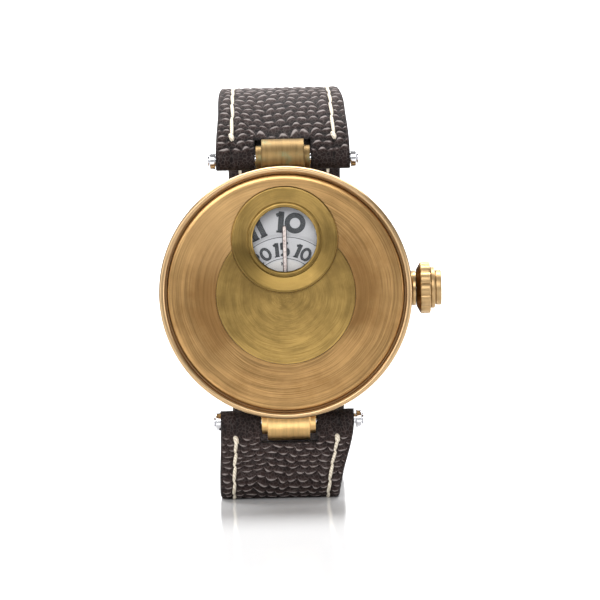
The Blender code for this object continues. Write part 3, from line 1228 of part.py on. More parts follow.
def make_train():
    """Centre, third, fourth and escape wheels, each with its pinion and arbor."""
    front = PLATE_BACK + RUNNING
    back = BRIDGE_DEPTH - RUNNING
    tube_middle = (CENTRE_TUBE_BORE + CENTRE_TUBE_RADIUS) / 2
    centre = wheel("centre_wheel", "yellow_brass", CENTRE_TEETH, TRAIN_MODULE, THIRD_BEARING,
                   CENTRE_LAYER, (0.0, 0.0), hub=HUB_RADIUS * 1.4, bore=tube_middle)
    tube_front = CANNON_FRONT
    tube_back = CENTRE_LAYER + WHEEL_THICKNESS + LAP
    tube = [(CENTRE_TUBE_RADIUS, tube_front), (CENTRE_TUBE_RADIUS, tube_back),
            (CENTRE_TUBE_BORE, tube_back), (CENTRE_TUBE_BORE, tube_front)]
    join(centre, turned("join_centre_tube", None, from_front(tube), SMALL_ROUND),
         leaves("join_centre_pinion", CENTRE_LEAVES, BARREL_MODULE, BARREL_BEARING,
                BARREL_DEPTH, (0.0, 0.0), gap=False, thickness=BARREL_TOOTH_THICKNESS,
                bore=tube_middle))
    to_centre = THIRD_BEARING + math.pi
    third = wheel("third_wheel", "yellow_brass", THIRD_TEETH, THIRD_MODULE, to_centre,
                  THIRD_LAYER, THIRD_AT)
    join(third, arbor("join_third_arbor", THIRD_AT, front, back),
         leaves("join_third_pinion", THIRD_LEAVES, TRAIN_MODULE, to_centre, CENTRE_LAYER,
                THIRD_AT))
    fourth = wheel("fourth_wheel", "yellow_brass", FOURTH_TEETH, TRAIN_MODULE, ESCAPE_BEARING,
                   FOURTH_LAYER, (0.0, 0.0))
    tip = PIVOT_LENGTH
    seconds_arbor = CENTRE_TUBE_BORE - RUNNING
    shape = [(0.0, SECONDS_DISC_DEPTH), (seconds_arbor, SECONDS_DISC_DEPTH),
             (seconds_arbor, back), (PIVOT_RADIUS, back), (PIVOT_RADIUS, back + tip),
             (0.0, back + tip)]
    join(fourth, turned("join_seconds_arbor", None, from_front(shape), TINY_ROUND),
         leaves("join_fourth_pinion", FOURTH_LEAVES, THIRD_MODULE, THIRD_BEARING, THIRD_LAYER,
                (0.0, 0.0)))
    make_escape_wheel(front, back)


CANNON_FRONT = MINUTE_DISC_DEPTH - SEAT_GAP * 2
ESCAPE_RADIUS = MOVEMENT_RADIUS * 0.1404
ESCAPE_ROOT_SHARE = 0.74
ESCAPE_RIM_SHARE = 0.52
ESCAPE_HUB_SHARE = 0.26
ESCAPE_TOOTH_SHARES = [(0.0, 0.0), (0.3, 1.0), (0.46, 1.0), (0.4, 0.0)]


def make_escape_wheel(front, back):
    """The escape wheel: fifteen raked teeth on a spoked rim. A tooth's points are shares of
    the pitch angle and of the tooth's height."""
    pitch = 2 * math.pi / ESCAPE_TEETH
    root = ESCAPE_RADIUS * ESCAPE_ROOT_SHARE
    outline = [polar(mix(root, ESCAPE_RADIUS, height), pitch * (i + along))
               for i in range(ESCAPE_TEETH) for along, height in ESCAPE_TOOTH_SHARES]
    windows = spoke_windows(ESCAPE_RADIUS * ESCAPE_HUB_SHARE, ESCAPE_RADIUS * ESCAPE_RIM_SHARE)
    escape = plate("escape_wheel", "polished_steel", [outline] + windows,
                   -ESCAPE_DEPTH - ESCAPE_THICKNESS, -ESCAPE_DEPTH, ESCAPE_AT, smooth=False)
    join(escape, arbor("join_escape_arbor", ESCAPE_AT, front, back),
         leaves("join_escape_pinion", ESCAPE_LEAVES, TRAIN_MODULE, ESCAPE_BEARING + math.pi,
                FOURTH_LAYER, ESCAPE_AT))


FORK_POINTS_SHARES = [
    (0.52, 0.10), (0.42, 0.10), (0.38, 0.05), (0.12, 0.06), (0.03, 0.15), (-0.25, 0.52),
    (-0.37, 0.54), (-0.373, 0.427), (-0.26, 0.367), (-0.12, 0.12),
]
BALANCE_RADIUS = MOVEMENT_RADIUS * 0.298
BALANCE_RIM = 0.4 * MM
BALANCE_SPOKE = 0.35 * MM
ROLLER_RADIUS = 0.85 * MM
COLLET_RADIUS = 0.45 * MM
HAIRSPRING_WIRE = 0.05 * MM
HAIRSPRING_TURNS = 4
HAIRSPRING_POINTS = 10
HAIRSPRING_INNER = 0.62 * MM
HAIRSPRING_OUTER = 2.5 * MM


def make_escapement():
    """The pallet fork, the balance wheel on its staff, and the hairspring round it."""
    upper = [(x * PALLET_DISTANCE, y * PALLET_DISTANCE) for x, y in FORK_POINTS_SHARES]
    outline = upper + [(x, -y) for x, y in reversed(upper)]
    turned_outline = [polar(math.hypot(x, y), math.atan2(y, x) + PALLET_BEARING)
                      for x, y in outline]
    fork = plate("pallet_fork", "polished_steel", [turned_outline],
                 -ESCAPE_DEPTH - ESCAPE_THICKNESS, -ESCAPE_DEPTH, PALLET_AT, smooth=False)
    join(fork, arbor("join_fork_arbor", PALLET_AT, PLATE_BACK + RUNNING,
                     PALLET_BRIDGE_DEPTH - RUNNING))
    rim = [(BALANCE_RADIUS, BALANCE_DEPTH), (BALANCE_RADIUS, BALANCE_DEPTH + BALANCE_RIM_HEIGHT),
           (BALANCE_RADIUS - BALANCE_RIM, BALANCE_DEPTH + BALANCE_RIM_HEIGHT),
           (BALANCE_RADIUS - BALANCE_RIM, BALANCE_DEPTH)]
    balance = turned("balance_wheel", "yellow_brass", from_front(rim), ROUND, BALANCE_AT)
    reach = BALANCE_RADIUS - BALANCE_RIM / 2
    bar = block("join_balance_arm", None,
                (-reach, -BALANCE_SPOKE / 2, -BALANCE_DEPTH - BALANCE_SPOKE),
                (reach, BALANCE_SPOKE / 2, -BALANCE_DEPTH - LAP))
    bar.location = (*BALANCE_AT, 0.0)
    tip = PIVOT_LENGTH
    front = PLATE_BACK + RUNNING
    back = BRIDGE_DEPTH - RUNNING
    staff = [
        (0.0, front - tip), (PIVOT_RADIUS, front - tip), (PIVOT_RADIUS, front),
        (ARBOR_RADIUS, front), (ARBOR_RADIUS, ROLLER_DEPTH), (ROLLER_RADIUS, ROLLER_DEPTH),
        (ROLLER_RADIUS, ROLLER_DEPTH + ROLLER_HEIGHT),
        (ARBOR_RADIUS, ROLLER_DEPTH + ROLLER_HEIGHT), (ARBOR_RADIUS, BALANCE_DEPTH),
        (COLLET_RADIUS, BALANCE_DEPTH), (COLLET_RADIUS, back - LAYER_GAP),
        (PIVOT_RADIUS, back - LAYER_GAP), (PIVOT_RADIUS, back + tip), (0.0, back + tip),
    ]
    join(balance, bar, turned("join_staff", None, from_front(staff), TINY_ROUND, BALANCE_AT))
    make_hairspring()


def make_hairspring():
    """A flat spiral wire from beside the staff out to its stud."""
    count = HAIRSPRING_TURNS * HAIRSPRING_POINTS
    points = [polar(mix(HAIRSPRING_INNER, HAIRSPRING_OUTER, i / count),
                    2 * math.pi * i / HAIRSPRING_POINTS) for i in range(count + 1)]
    curve = bpy.data.curves.new("hairspring", "CURVE")
    curve.dimensions = "3D"
    curve.bevel_depth = HAIRSPRING_WIRE
    curve.bevel_resolution = 0
    curve.use_fill_caps = True
    spline = curve.splines.new("POLY")
    spline.points.add(count)
    spline.points.foreach_set("co", [v for x, y in points
                                     for v in (x, y, -HAIRSPRING_DEPTH, 1.0)])
    curve.materials.append(material("blued_steel"))
    spring = bpy.data.objects.new("hairspring", curve)
    spring.parent = DIAL
    spring.location = (*BALANCE_AT, 0.0)
    PIECES.objects.link(spring)
    stud = polar(HAIRSPRING_OUTER, 0.0, BALANCE_AT)
    cock = bpy.data.objects["balance_cock"]
    join(cock, rod("join_stud", None, ARBOR_RADIUS, -BRIDGE_DEPTH - LAP,
                   -HAIRSPRING_DEPTH - HAIRSPRING_WIRE - SEAT_GAP, stud, sides=TINY_ROUND))


DRUM_WALL = 0.35 * MM
DRUM_OUTER = MOVEMENT_RADIUS * 0.404
DRUM_FLOOR = 0.5 * MM
COVER_THICKNESS = 0.3 * MM
ARBOR_HUB_RADIUS = 1.1 * MM
SPRING_TURNS = 4
SPRING_POINTS = 11
SPRING_THICKNESS = 0.14 * MM
SPRING_GAP = 0.12 * MM


def make_barrel():
    """The going barrel: toothed drum, cover, arbor, mainspring and the ratchet wheel."""
    to_centre = BARREL_BEARING + math.pi
    drum = wheel("barrel_drum", "yellow_brass", BARREL_TEETH, BARREL_MODULE, to_centre,
                 BARREL_DEPTH, BARREL_AT, gap=True, thickness=BARREL_TOOTH_THICKNESS,
                 spoked=False, bore=BARREL_ARBOR_RADIUS + RUNNING)
    back = BARREL_DEPTH + BARREL_HEIGHT
    cover_front = back - COVER_THICKNESS
    wall_front = BARREL_DEPTH + BARREL_TOOTH_THICKNESS - LAP
    wall = [(DRUM_OUTER, wall_front), (DRUM_OUTER, cover_front - SEAT_GAP),
            (DRUM_OUTER - DRUM_WALL, cover_front - SEAT_GAP),
            (DRUM_OUTER - DRUM_WALL, wall_front)]
    join(drum, turned("join_drum_wall", None, from_front(wall), ROUND, BARREL_AT))
    cover = [(DRUM_OUTER, cover_front), (DRUM_OUTER, back),
             (BARREL_ARBOR_RADIUS + RUNNING, back), (BARREL_ARBOR_RADIUS + RUNNING, cover_front)]
    turned("barrel_cover", "yellow_brass", from_front(cover), ROUND, BARREL_AT)
    inside = BARREL_DEPTH + DRUM_FLOOR
    far = cover_front - SPRING_GAP
    shape = [(0.0, PLATE_DEPTH + LAYER_GAP), (BARREL_ARBOR_RADIUS, PLATE_DEPTH + LAYER_GAP),
             (BARREL_ARBOR_RADIUS, inside), (ARBOR_HUB_RADIUS, inside), (ARBOR_HUB_RADIUS, far),
             (BARREL_ARBOR_RADIUS, far), (BARREL_ARBOR_RADIUS, BRIDGE_BACK),
             (0.0, BRIDGE_BACK)]
    turned("barrel_arbor", "polished_steel", from_front(shape), SMALL_ROUND, BARREL_AT)
    first = ARBOR_HUB_RADIUS + SPRING_GAP
    last = DRUM_OUTER - DRUM_WALL - SPRING_GAP - SPRING_THICKNESS
    count = SPRING_TURNS * SPRING_POINTS
    coil = [(mix(first, last, i / count), 2 * math.pi * i / SPRING_POINTS)
            for i in range(count + 1)]
    ribbon = [polar(radius, bearing) for radius, bearing in coil]
    ribbon += [polar(radius + SPRING_THICKNESS, bearing) for radius, bearing in reversed(coil)]
    plate("mainspring", "blued_steel", [ribbon], -far, -inside, BARREL_AT)
    to_crown_wheel = line_bearing(BARREL_AT, CROWN_WHEEL_AT)
    wheel("ratchet_wheel", "polished_steel", RATCHET_TEETH, WINDING_MODULE, to_crown_wheel,
          THIRD_LAYER, BARREL_AT, bore=BARREL_ARBOR_RADIUS + SEAT_GAP, hub=HUB_RADIUS * 2)


# Keyless work: what the crown turns. The castle wheel and the winding pinion are on the stem.
FACE_TOOTH_INNER = MOVEMENT_RADIUS * 0.1291
FACE_TOOTH_OUTER = MOVEMENT_RADIUS * 0.1656
FACE_TOOTH_HEIGHT = 0.38 * MM
FACE_GAP = 0.06 * MM
FACE_DISC_THICKNESS = 0.25 * MM
FACE_TOOTH_SHARE = 0.26
PINION_START = CROWN_WHEEL_AT[0] + FACE_TOOTH_INNER + RUNNING
PINION_WIDTH = 1.0 * MM
CASTLE_WIDTH = 1.4 * MM
CASTLE_MODULE, CASTLE_TEETH = 0.15 * MM, 12
CLICK_DISTANCE = MOVEMENT_RADIUS * 0.504
CLICK_BEARING = math.radians(165)
CLICK_HUB = 0.55 * MM
CLICK_NOSE_GAP = 0.08 * MM
CLICK_NOSE_SHARE = 0.12


def make_keyless():
    """Winding pinion, castle wheel and the two-tier crown wheel that drives the ratchet."""
    bore = STEM_RADIUS + RUNNING
    across = math.pi
    pinion = [teeth_outline(PINION_TEETH, PINION_MODULE, across, True), circle(bore, TINY_ROUND)]
    plate("winding_pinion", "polished_steel", pinion, PINION_START, PINION_START + PINION_WIDTH,
          parent=STEM, smooth=False)
    castle = [teeth_outline(CASTLE_TEETH, CASTLE_MODULE, across), circle(bore, TINY_ROUND)]
    plate("castle_wheel", "polished_steel", castle, PINION_START - RUNNING - CASTLE_WIDTH,
          PINION_START - RUNNING, parent=STEM, smooth=False)
    pinion_tip = pitch_radius(PINION_MODULE, PINION_TEETH) + ADDENDUM_SHARE * PINION_MODULE
    castle_tip = pitch_radius(CASTLE_MODULE, CASTLE_TEETH) + ADDENDUM_SHARE * CASTLE_MODULE
    disc_front = STEM_DEPTH + max(pinion_tip + FACE_GAP,
                                  castle_tip + FACE_TOOTH_HEIGHT + RUNNING)
    disc_back = disc_front + FACE_DISC_THICKNESS
    upper = wheel("crown_wheel", "polished_steel", CROWN_WHEEL_TEETH, WINDING_MODULE,
                  line_bearing(CROWN_WHEEL_AT, BARREL_AT), THIRD_LAYER, CROWN_WHEEL_AT,
                  gap=True, spoked=False)
    pitch = 2 * math.pi / FACE_TEETH
    outline = []
    for i in range(FACE_TEETH):
        for radius, share in ((FACE_TOOTH_INNER, -FACE_TOOTH_SHARE),
                              (FACE_TOOTH_OUTER, -FACE_TOOTH_SHARE * FACE_TOOTH_INNER
                               / FACE_TOOTH_OUTER),
                              (FACE_TOOTH_OUTER, FACE_TOOTH_SHARE * FACE_TOOTH_INNER
                               / FACE_TOOTH_OUTER),
                              (FACE_TOOTH_INNER, FACE_TOOTH_SHARE)):
            outline.append(polar(radius, pitch * (i + share / 2)))
    face = plate("join_face_teeth", None, [outline], -disc_front - LAP,
                 -disc_front + FACE_TOOTH_HEIGHT, CROWN_WHEEL_AT, smooth=False)
    body = [(0.0, disc_front), (FACE_TOOTH_OUTER, disc_front), (FACE_TOOTH_OUTER, disc_back),
            (HUB_RADIUS, disc_back), (HUB_RADIUS, THIRD_LAYER + LAP), (0.0, THIRD_LAYER + LAP)]
    pivot = rod("join_crown_wheel_pivot", None, ARBOR_RADIUS, -BRIDGE_BACK + SEAT_GAP,
                -THIRD_LAYER - LAP, CROWN_WHEEL_AT, sides=TINY_ROUND)
    join(upper, turned("join_crown_wheel_body", None, from_front(body), SMALL_ROUND,
                       CROWN_WHEEL_AT), face, pivot)
    make_click()


CLICK_AT = polar(CLICK_DISTANCE, CLICK_BEARING, BARREL_AT)


def make_click():
    """The click: a pawl on its own pivot, its nose at the tips of the ratchet's teeth."""
    tip = pitch_radius(WINDING_MODULE, RATCHET_TEETH) + ADDENDUM_SHARE * WINDING_MODULE
    inward = CLICK_BEARING + math.pi
    nose = polar(tip + CLICK_NOSE_GAP, CLICK_BEARING - CLICK_NOSE_SHARE, BARREL_AT)
    nose = (nose[0] - CLICK_AT[0], nose[1] - CLICK_AT[1])
    across = inward - UP
    outline = [polar(CLICK_HUB, inward + math.radians(a)) for a in (60, 120, 180, 240)]
    back = polar(CLICK_HUB, across)
    outline += [back, (nose[0] + back[0] / 2, nose[1] + back[1] / 2), nose]
    click = plate("click_pawl", "polished_steel", [outline], -THIRD_LAYER - WHEEL_THICKNESS,
                  -THIRD_LAYER, CLICK_AT, smooth=False)
    post = rod("join_click_post", None, BRIDGE_SCREW_RADIUS, -BRIDGE_BACK + SEAT_GAP,
               -THIRD_LAYER - LAP, CLICK_AT, sides=TINY_ROUND)
    return join(click, post)


# Motion work and the three discs that show the time
SECONDS_DISC_RADIUS = WINDOW_HEIGHT * 0.6712
MINUTE_DISC_RADIUS = WINDOW_HEIGHT * 1.0613
HOUR_DISC_GAP = 0.7 * MM
HOUR_DISC_RADIUS = CASE_BORE_RADIUS - HOUR_DISC_GAP
CANNON_WALL = MOVEMENT_RADIUS * 0.00993
HOUR_PIPE_WALL = 0.18 * MM


def disc(name, radius, bore, front):
    """A thin flat disc."""
    back = front + DISC_THICKNESS
    shape = [(radius, front), (radius, back), (bore, back), (bore, front)]
    return turned(name, "silvered_disc", from_front(shape), BIG_ROUND)


def make_display():
    """Cannon pinion, minute wheel and hour wheel, and the discs they carry."""
    cannon_bore = CENTRE_TUBE_RADIUS + SEAT_GAP
    cannon_outer = cannon_bore + CANNON_WALL
    hour_bore = cannon_outer + RUNNING
    hour_outer = hour_bore + HOUR_PIPE_WALL
    disc("seconds_disc", SECONDS_DISC_RADIUS, CENTRE_TUBE_BORE - RUNNING + SEAT_GAP,
         SECONDS_DISC_DEPTH)
    disc("minute_disc", MINUTE_DISC_RADIUS, cannon_outer + SEAT_GAP, MINUTE_DISC_DEPTH)
    disc("hour_disc", HOUR_DISC_RADIUS, hour_outer + SEAT_GAP, HOUR_DISC_DEPTH)
    cannon = plate("cannon_pinion", "polished_steel",
                   [teeth_outline(CANNON_TEETH, MOTION_MODULE, MINUTE_WHEEL_BEARING),
                    circle(cannon_bore, SMALL_ROUND)],
                   -MINUTE_WHEEL_DEPTH - WHEEL_THICKNESS, -MINUTE_WHEEL_DEPTH, smooth=False)
    pipe_back = MINUTE_WHEEL_DEPTH + LAP
    pipe = [(cannon_outer, CANNON_FRONT), (cannon_outer, pipe_back), (cannon_bore, pipe_back),
            (cannon_bore, CANNON_FRONT)]
    join(cannon, turned("join_cannon_pipe", None, from_front(pipe), SMALL_ROUND))
    hour = wheel("hour_wheel", "yellow_brass", HOUR_TEETH, HOUR_MODULE, MINUTE_WHEEL_BEARING,
                 HOUR_WHEEL_DEPTH, (0.0, 0.0), hub=HUB_RADIUS * 1.6, bore=hour_bore)
    hour_front = HOUR_DISC_DEPTH
    hour_back = HOUR_WHEEL_DEPTH + WHEEL_THICKNESS
    hour_pipe = [(hour_outer, hour_front), (hour_outer, hour_back), (hour_bore, hour_back),
                 (hour_bore, hour_front)]
    join(hour, turned("join_hour_pipe", None, from_front(hour_pipe), SMALL_ROUND))
    back_bearing = MINUTE_WHEEL_BEARING + math.pi
    minute = wheel("minute_wheel", "yellow_brass", MINUTE_TEETH, MOTION_MODULE, back_bearing,
                   MINUTE_WHEEL_DEPTH, MINUTE_WHEEL_AT, gap=True)
    post_front = HOUR_WHEEL_DEPTH - LAP
    join(minute, leaves("join_minute_leaves", MINUTE_LEAVES, HOUR_MODULE, back_bearing,
                        HOUR_WHEEL_DEPTH, MINUTE_WHEEL_AT,
                        thickness=MINUTE_WHEEL_DEPTH - HOUR_WHEEL_DEPTH),
         rod("join_minute_post", None, ARBOR_RADIUS, -PLATE_BACK + PLATE_THICKNESS / 2,
             -post_front - LAP, MINUTE_WHEEL_AT, sides=TINY_ROUND))


def main():
    make_rim()
    make_case_middle()
    make_dish()
    make_brass_disc()
    make_window()
    make_pointer()
    make_case_back()
    make_crown()
    make_lug("upper_lug", 1, UPPER_BAR)
    make_lug("lower_lug", -1, LOWER_BAR)
    make_bar("upper_bar", UPPER_BAR)
    make_bar("lower_bar", LOWER_BAR)
    make_bar_screws()
    make_strap_upper()
    make_strap_lower()
    make_keeper("fixed_keeper", FIXED_KEEPER_LOW)
    make_keeper("free_keeper", FREE_KEEPER_LOW)
    make_buckle()
    make_main_plate()
    make_movement_ring()
    make_bridges()
    make_bridge_screws()
    make_train()
    make_escapement()
    make_barrel()
    make_keyless()
    make_display()


main()
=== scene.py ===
"""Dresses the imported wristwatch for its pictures.

The CAD model is the fixed frame. Its turned, swept and sewn pieces are made again here as
fine surfaces, and the works behind the dial keep their solids and get real finishes.
Metres, +Z up. The dial faces -Y and the crown points to +X. A depth is counted backwards
from the front of the rim, and a height upwards from the dial's axis.
"""

import math

import bmesh
import bpy
import numpy as np
from mathutils import Matrix, Vector


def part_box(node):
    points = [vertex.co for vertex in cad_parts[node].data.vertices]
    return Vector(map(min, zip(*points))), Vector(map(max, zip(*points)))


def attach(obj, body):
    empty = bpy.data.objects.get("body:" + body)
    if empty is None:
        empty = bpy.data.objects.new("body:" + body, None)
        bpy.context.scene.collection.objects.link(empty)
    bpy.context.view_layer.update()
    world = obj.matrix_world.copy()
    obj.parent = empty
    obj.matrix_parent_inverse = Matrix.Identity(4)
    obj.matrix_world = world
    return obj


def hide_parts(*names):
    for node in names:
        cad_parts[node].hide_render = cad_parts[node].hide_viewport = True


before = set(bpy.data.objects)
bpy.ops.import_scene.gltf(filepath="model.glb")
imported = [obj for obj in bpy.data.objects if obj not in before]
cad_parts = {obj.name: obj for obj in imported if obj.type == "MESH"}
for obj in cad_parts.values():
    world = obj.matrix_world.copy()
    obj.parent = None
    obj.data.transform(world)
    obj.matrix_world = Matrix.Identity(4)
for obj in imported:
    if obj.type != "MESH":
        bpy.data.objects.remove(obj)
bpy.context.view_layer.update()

bl_info = {
    "name": "Wandering-disc wristwatch",
    "version": (1, 0, 0),
    "blender": (4, 5, 0),
    "location": "View3D > Sidebar > Wristwatch",
    "description": "Builds a wristwatch with turning time discs round its CAD frame",
    "category": "Object",
}

MM = 0.001
TURN = 2 * math.pi
SHARP_ANGLE = math.radians(32)
STRAIGHT = math.cos(math.radians(14))
EASE_SHARE = 0.45
WELD = 1e-7
TINY = 1e-6


def corners_of(node):
    """The low and the high corner of a CAD node's box, as arrays."""
    return [np.array(corner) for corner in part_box(node)]


def box_of(node):
    """The middle and the size of a CAD node's box, as arrays."""
    low, high = corners_of(node)
    return (low + high) / 2, high - low


# Where the CAD frame puts things
RIM_MIDDLE, RIM_SIZE = box_of("rim")
CASE_RADIUS = RIM_SIZE[0] / 2
AXIS_Z = float(RIM_MIDDLE[2])
FRONT_Y = float(RIM_MIDDLE[1] - RIM_SIZE[1] / 2)
BAR_MIDDLE, BAR_SIZE = box_of("upper_bar")
BAR_DEPTH = float(BAR_MIDDLE[1] - FRONT_Y)
BAR_HEIGHT = float(BAR_MIDDLE[2] - AXIS_Z)
BAR_RADIUS = BAR_SIZE[2] / 2
WINDOW_MIDDLE, WINDOW_SIZE = box_of("window_ring")
WINDOW_Z = float(WINDOW_MIDDLE[2])
WINDOW_RING_RADIUS = WINDOW_SIZE[0] / 2
BRASS_DISC_RADIUS = box_of("brass_centre_disc")[1][0] / 2
BRASS_DISC_Z = float(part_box("brass_centre_disc")[0].z) + BRASS_DISC_RADIUS
DISH_RADIUS = box_of("dial_dish")[1][0] / 2
BODY_RADIUS = box_of("case_middle")[1][0] / 2
BACK_DEPTH = float(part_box("case_back")[1].y - FRONT_Y)
CROWN_START = float(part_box("crown")[0].x)
AHEAD = np.array([0.0, 1.0, 0.0])
RIGHT = np.array([1.0, 0.0, 0.0])
UPWARD = np.array([0.0, 0.0, 1.0])


# Surfaces

def smooth(value):
    """0 to 1 with flat ends: 3t^2 - 2t^3 of the value held between 0 and 1."""
    t = np.clip(value, 0.0, 1.0)
    return t * t * (3 - 2 * t)


def mix(low, high, share):
    """The value a share of the way from low to high."""
    return low + (high - low) * share


def cells(rows, columns, wrap_rows=False, wrap_columns=False):
    """Faces over a grid: each cell's four corners, going round where a direction closes."""
    index = np.arange(rows * columns).reshape(rows, columns)
    if wrap_rows:
        index = np.vstack([index, index[:1]])
    if wrap_columns:
        index = np.hstack([index, index[:, :1]])
    corners = [index[:-1, :-1], index[:-1, 1:], index[1:, 1:], index[1:, :-1]]
    return np.stack(corners, -1).reshape(-1, 4)


def eased(profile, ease, steps=4, closed=True):
    """A profile, or a path in space, with its corners rounded. Each corner P between its
    neighbours becomes the curve (1-t)^2 A + 2t(1-t) P + t^2 B, where A and B lie `ease`
    before and after it, within EASE_SHARE of the way to its neighbours. A corner that
    hardly turns is left alone."""
    points = np.asarray(profile, float)
    count = len(points)
    rounded = []
    shares = np.linspace(0.0, 1.0, steps + 1)[:, None]
    for i in range(count):
        here, before, after = points[i], points[i - 1], points[(i + 1) % count]
        if not closed and i in (0, count - 1):
            rounded.append(here[None])
            continue
        into, out = here - before, after - here
        lengths = np.linalg.norm(into), np.linalg.norm(out)
        into, out = into / lengths[0], out / lengths[1]
        if np.dot(into, out) > STRAIGHT:
            rounded.append(here[None])
            continue
        start = here - into * min(ease, lengths[0] * EASE_SHARE)
        end = here + out * min(ease, lengths[1] * EASE_SHARE)
        rounded.append((1 - shares) ** 2 * start + 2 * shares * (1 - shares) * here
                       + shares**2 * end)
    return np.concatenate(rounded)


def directions(path, closed=False):
    """The unit direction of a path at each of its points, taken from the points beside it."""
    if closed:
        along = np.roll(path, -1, 0) - np.roll(path, 1, 0)
    else:
        along = np.gradient(path, axis=0)
    return along / np.linalg.norm(along, axis=1)[:, None]


def filled(outline, counts):
    """A closed outline with each of its edges split into a count of even steps."""
    return np.concatenate([
        mix(here, after, np.linspace(0.0, 1.0, count, endpoint=False)[:, None])
        for here, after, count in zip(outline, np.roll(outline, -1, 0), counts)])


def turned(profile, steps, centre, along=AHEAD, first=RIGHT, radius_factor=None):
    """A profile of (radius, distance) carried round an axis: centre + distance * along
    + radius * (cos t * first + sin t * second). radius_factor(t, profile) scales the
    radius from place to place."""
    second = np.cross(along, first)
    t = np.linspace(0.0, TURN, steps, endpoint=False)
    profile = np.asarray(profile, float)
    radius = np.broadcast_to(profile[:, 0], (steps, len(profile)))
    if radius_factor is not None:
        radius = radius * radius_factor(t[:, None], profile[None])
    across = np.cos(t)[:, None] * first + np.sin(t)[:, None] * second
    points = (np.asarray(centre, float) + radius[..., None] * across[:, None, :]
              + profile[None, :, 1:] * along)
    solid = profile[0, 0] == 0.0
    faces = cells(steps, len(profile), True, not solid)
    return points.reshape(-1, 3), faces


def on_dial(x, height, depth):
    """World points from places on the dial: X, FRONT_Y + depth and AXIS_Z + height."""
    x, height, depth = np.broadcast_arrays(x, height, depth)
    return np.stack([x, FRONT_Y + depth, AXIS_Z + height], -1)


def dial_lathe(profile, steps=240, height=0.0):
    """A turned shape round the dial's normal, its middle at a height above the axis."""
    return turned(profile, steps, (0.0, FRONT_Y, AXIS_Z + height))


def side_lathe(profile, steps, depth, height, x=0.0):
    """A turned shape round a line parallel to X, at a depth and a height."""
    return turned(profile, steps, (x, FRONT_Y + depth, AXIS_Z + height), RIGHT, AHEAD)


def swept(path, across, upward, section, closed=False):
    """A section carried along a path: path point + a * across + b * upward for each
    section point (a, b), whose size may differ from place to place."""
    section = np.asarray(section, float)
    if section.ndim == 2:
        section = np.broadcast_to(section, (len(path), *section.shape))
    points = (path[:, None] + section[..., :1] * across[:, None]
              + section[..., 1:] * upward[:, None])
    rows, columns = points.shape[:2]
    faces = cells(rows, columns, closed, True).tolist()
    if not closed:
        faces += [list(range(columns)), list(range((rows - 1) * columns, rows * columns))]
    return points.reshape(-1, 3), faces


def round_section(radius, sides):
    """A circle of points."""
    t = np.linspace(0.0, TURN, sides, endpoint=False)
    return np.stack([radius * np.cos(t), radius * np.sin(t)], -1)


def plate_profile(radius, front, back, ease, steps=3):
    """The profile of a plain round plate or pin with eased edges, from the middle of one
    face to the middle of the other."""
    return eased([(0.0, front), (radius, front), (radius, back), (0.0, back)], ease, steps,
                 False)


def soft_box(half_a, half_b, ease, steps=4):
    """A rectangle of half sizes a and b with rounded corners."""
    corners = [(half_a, half_b), (-half_a, half_b), (-half_a, -half_b), (half_a, -half_b)]
    return eased(corners, ease, steps)


def shell(outer, inner, keep):
    """A closed sheet between two grids of points. Cells that are not kept leave a hole, and
    a wall joins the two grids wherever a kept cell meets a hole or the border. Also gives
    which points of the two grids are used."""
    rows, columns = outer.shape[:2]
    index = np.arange(rows * columns).reshape(rows, columns)
    under = index + rows * columns
    corners = cells(rows, columns).reshape(rows - 1, columns - 1, 4)
    faces = [corners[keep], corners[keep][:, ::-1] + rows * columns]
    framed = np.pad(keep, 1)
    across = framed[:-1, 1:-1] != framed[1:, 1:-1]
    along = framed[1:-1, :-1] != framed[1:-1, 1:]
    walls = np.stack([index[:, :-1], index[:, 1:], under[:, 1:], under[:, :-1]], -1)
    faces.append(walls[across])
    walls = np.stack([index[:-1], index[1:], under[1:], under[:-1]], -1)
    faces.append(walls[along])
    faces = np.concatenate(faces)
    used, faces = np.unique(faces, return_inverse=True)
    points = np.concatenate([outer.reshape(-1, 3), inner.reshape(-1, 3)])
    return points[used], faces.reshape(-1, 4), used


def solid_mesh(name, parts, attributes=None):
    """One mesh of several closed parts, welded, with its faces turned outwards."""
    points, faces, start = [], [], 0
    for part_points, part_faces in parts:
        faces += [[corner + start for corner in face] for face in
                  (part_faces.tolist() if isinstance(part_faces, np.ndarray) else part_faces)]
        points.append(part_points)
        start += len(part_points)
    mesh = bpy.data.meshes.new(name)
    mesh.from_pydata(np.concatenate(points).tolist(), [], faces)
    for key, values in (attributes or {}).items():
        mesh.attributes.new(key, "FLOAT", "POINT").data.foreach_set(
            "value", np.asarray(values, np.float32))
    work = bmesh.new()
    work.from_mesh(mesh)
    bmesh.ops.remove_doubles(work, verts=work.verts, dist=WELD)
    bmesh.ops.recalc_face_normals(work, faces=work.faces)
    work.to_mesh(mesh)
    work.free()
    return mesh


def piece(name, parts, body, finish, stands_for=(), attributes=None):
    """Show a mesh of parts as a piece that rides on a body and stands for CAD nodes."""
    mesh = solid_mesh(name, parts, attributes)
    mesh.shade_smooth()
    mesh.set_sharp_from_angle(angle=SHARP_ANGLE)
    mesh.materials.append(finish)
    made = bpy.data.objects.new(name, mesh)
    bpy.context.scene.collection.objects.link(made)
    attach(made, body)
    if stands_for:
        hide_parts(*stands_for)
    return made


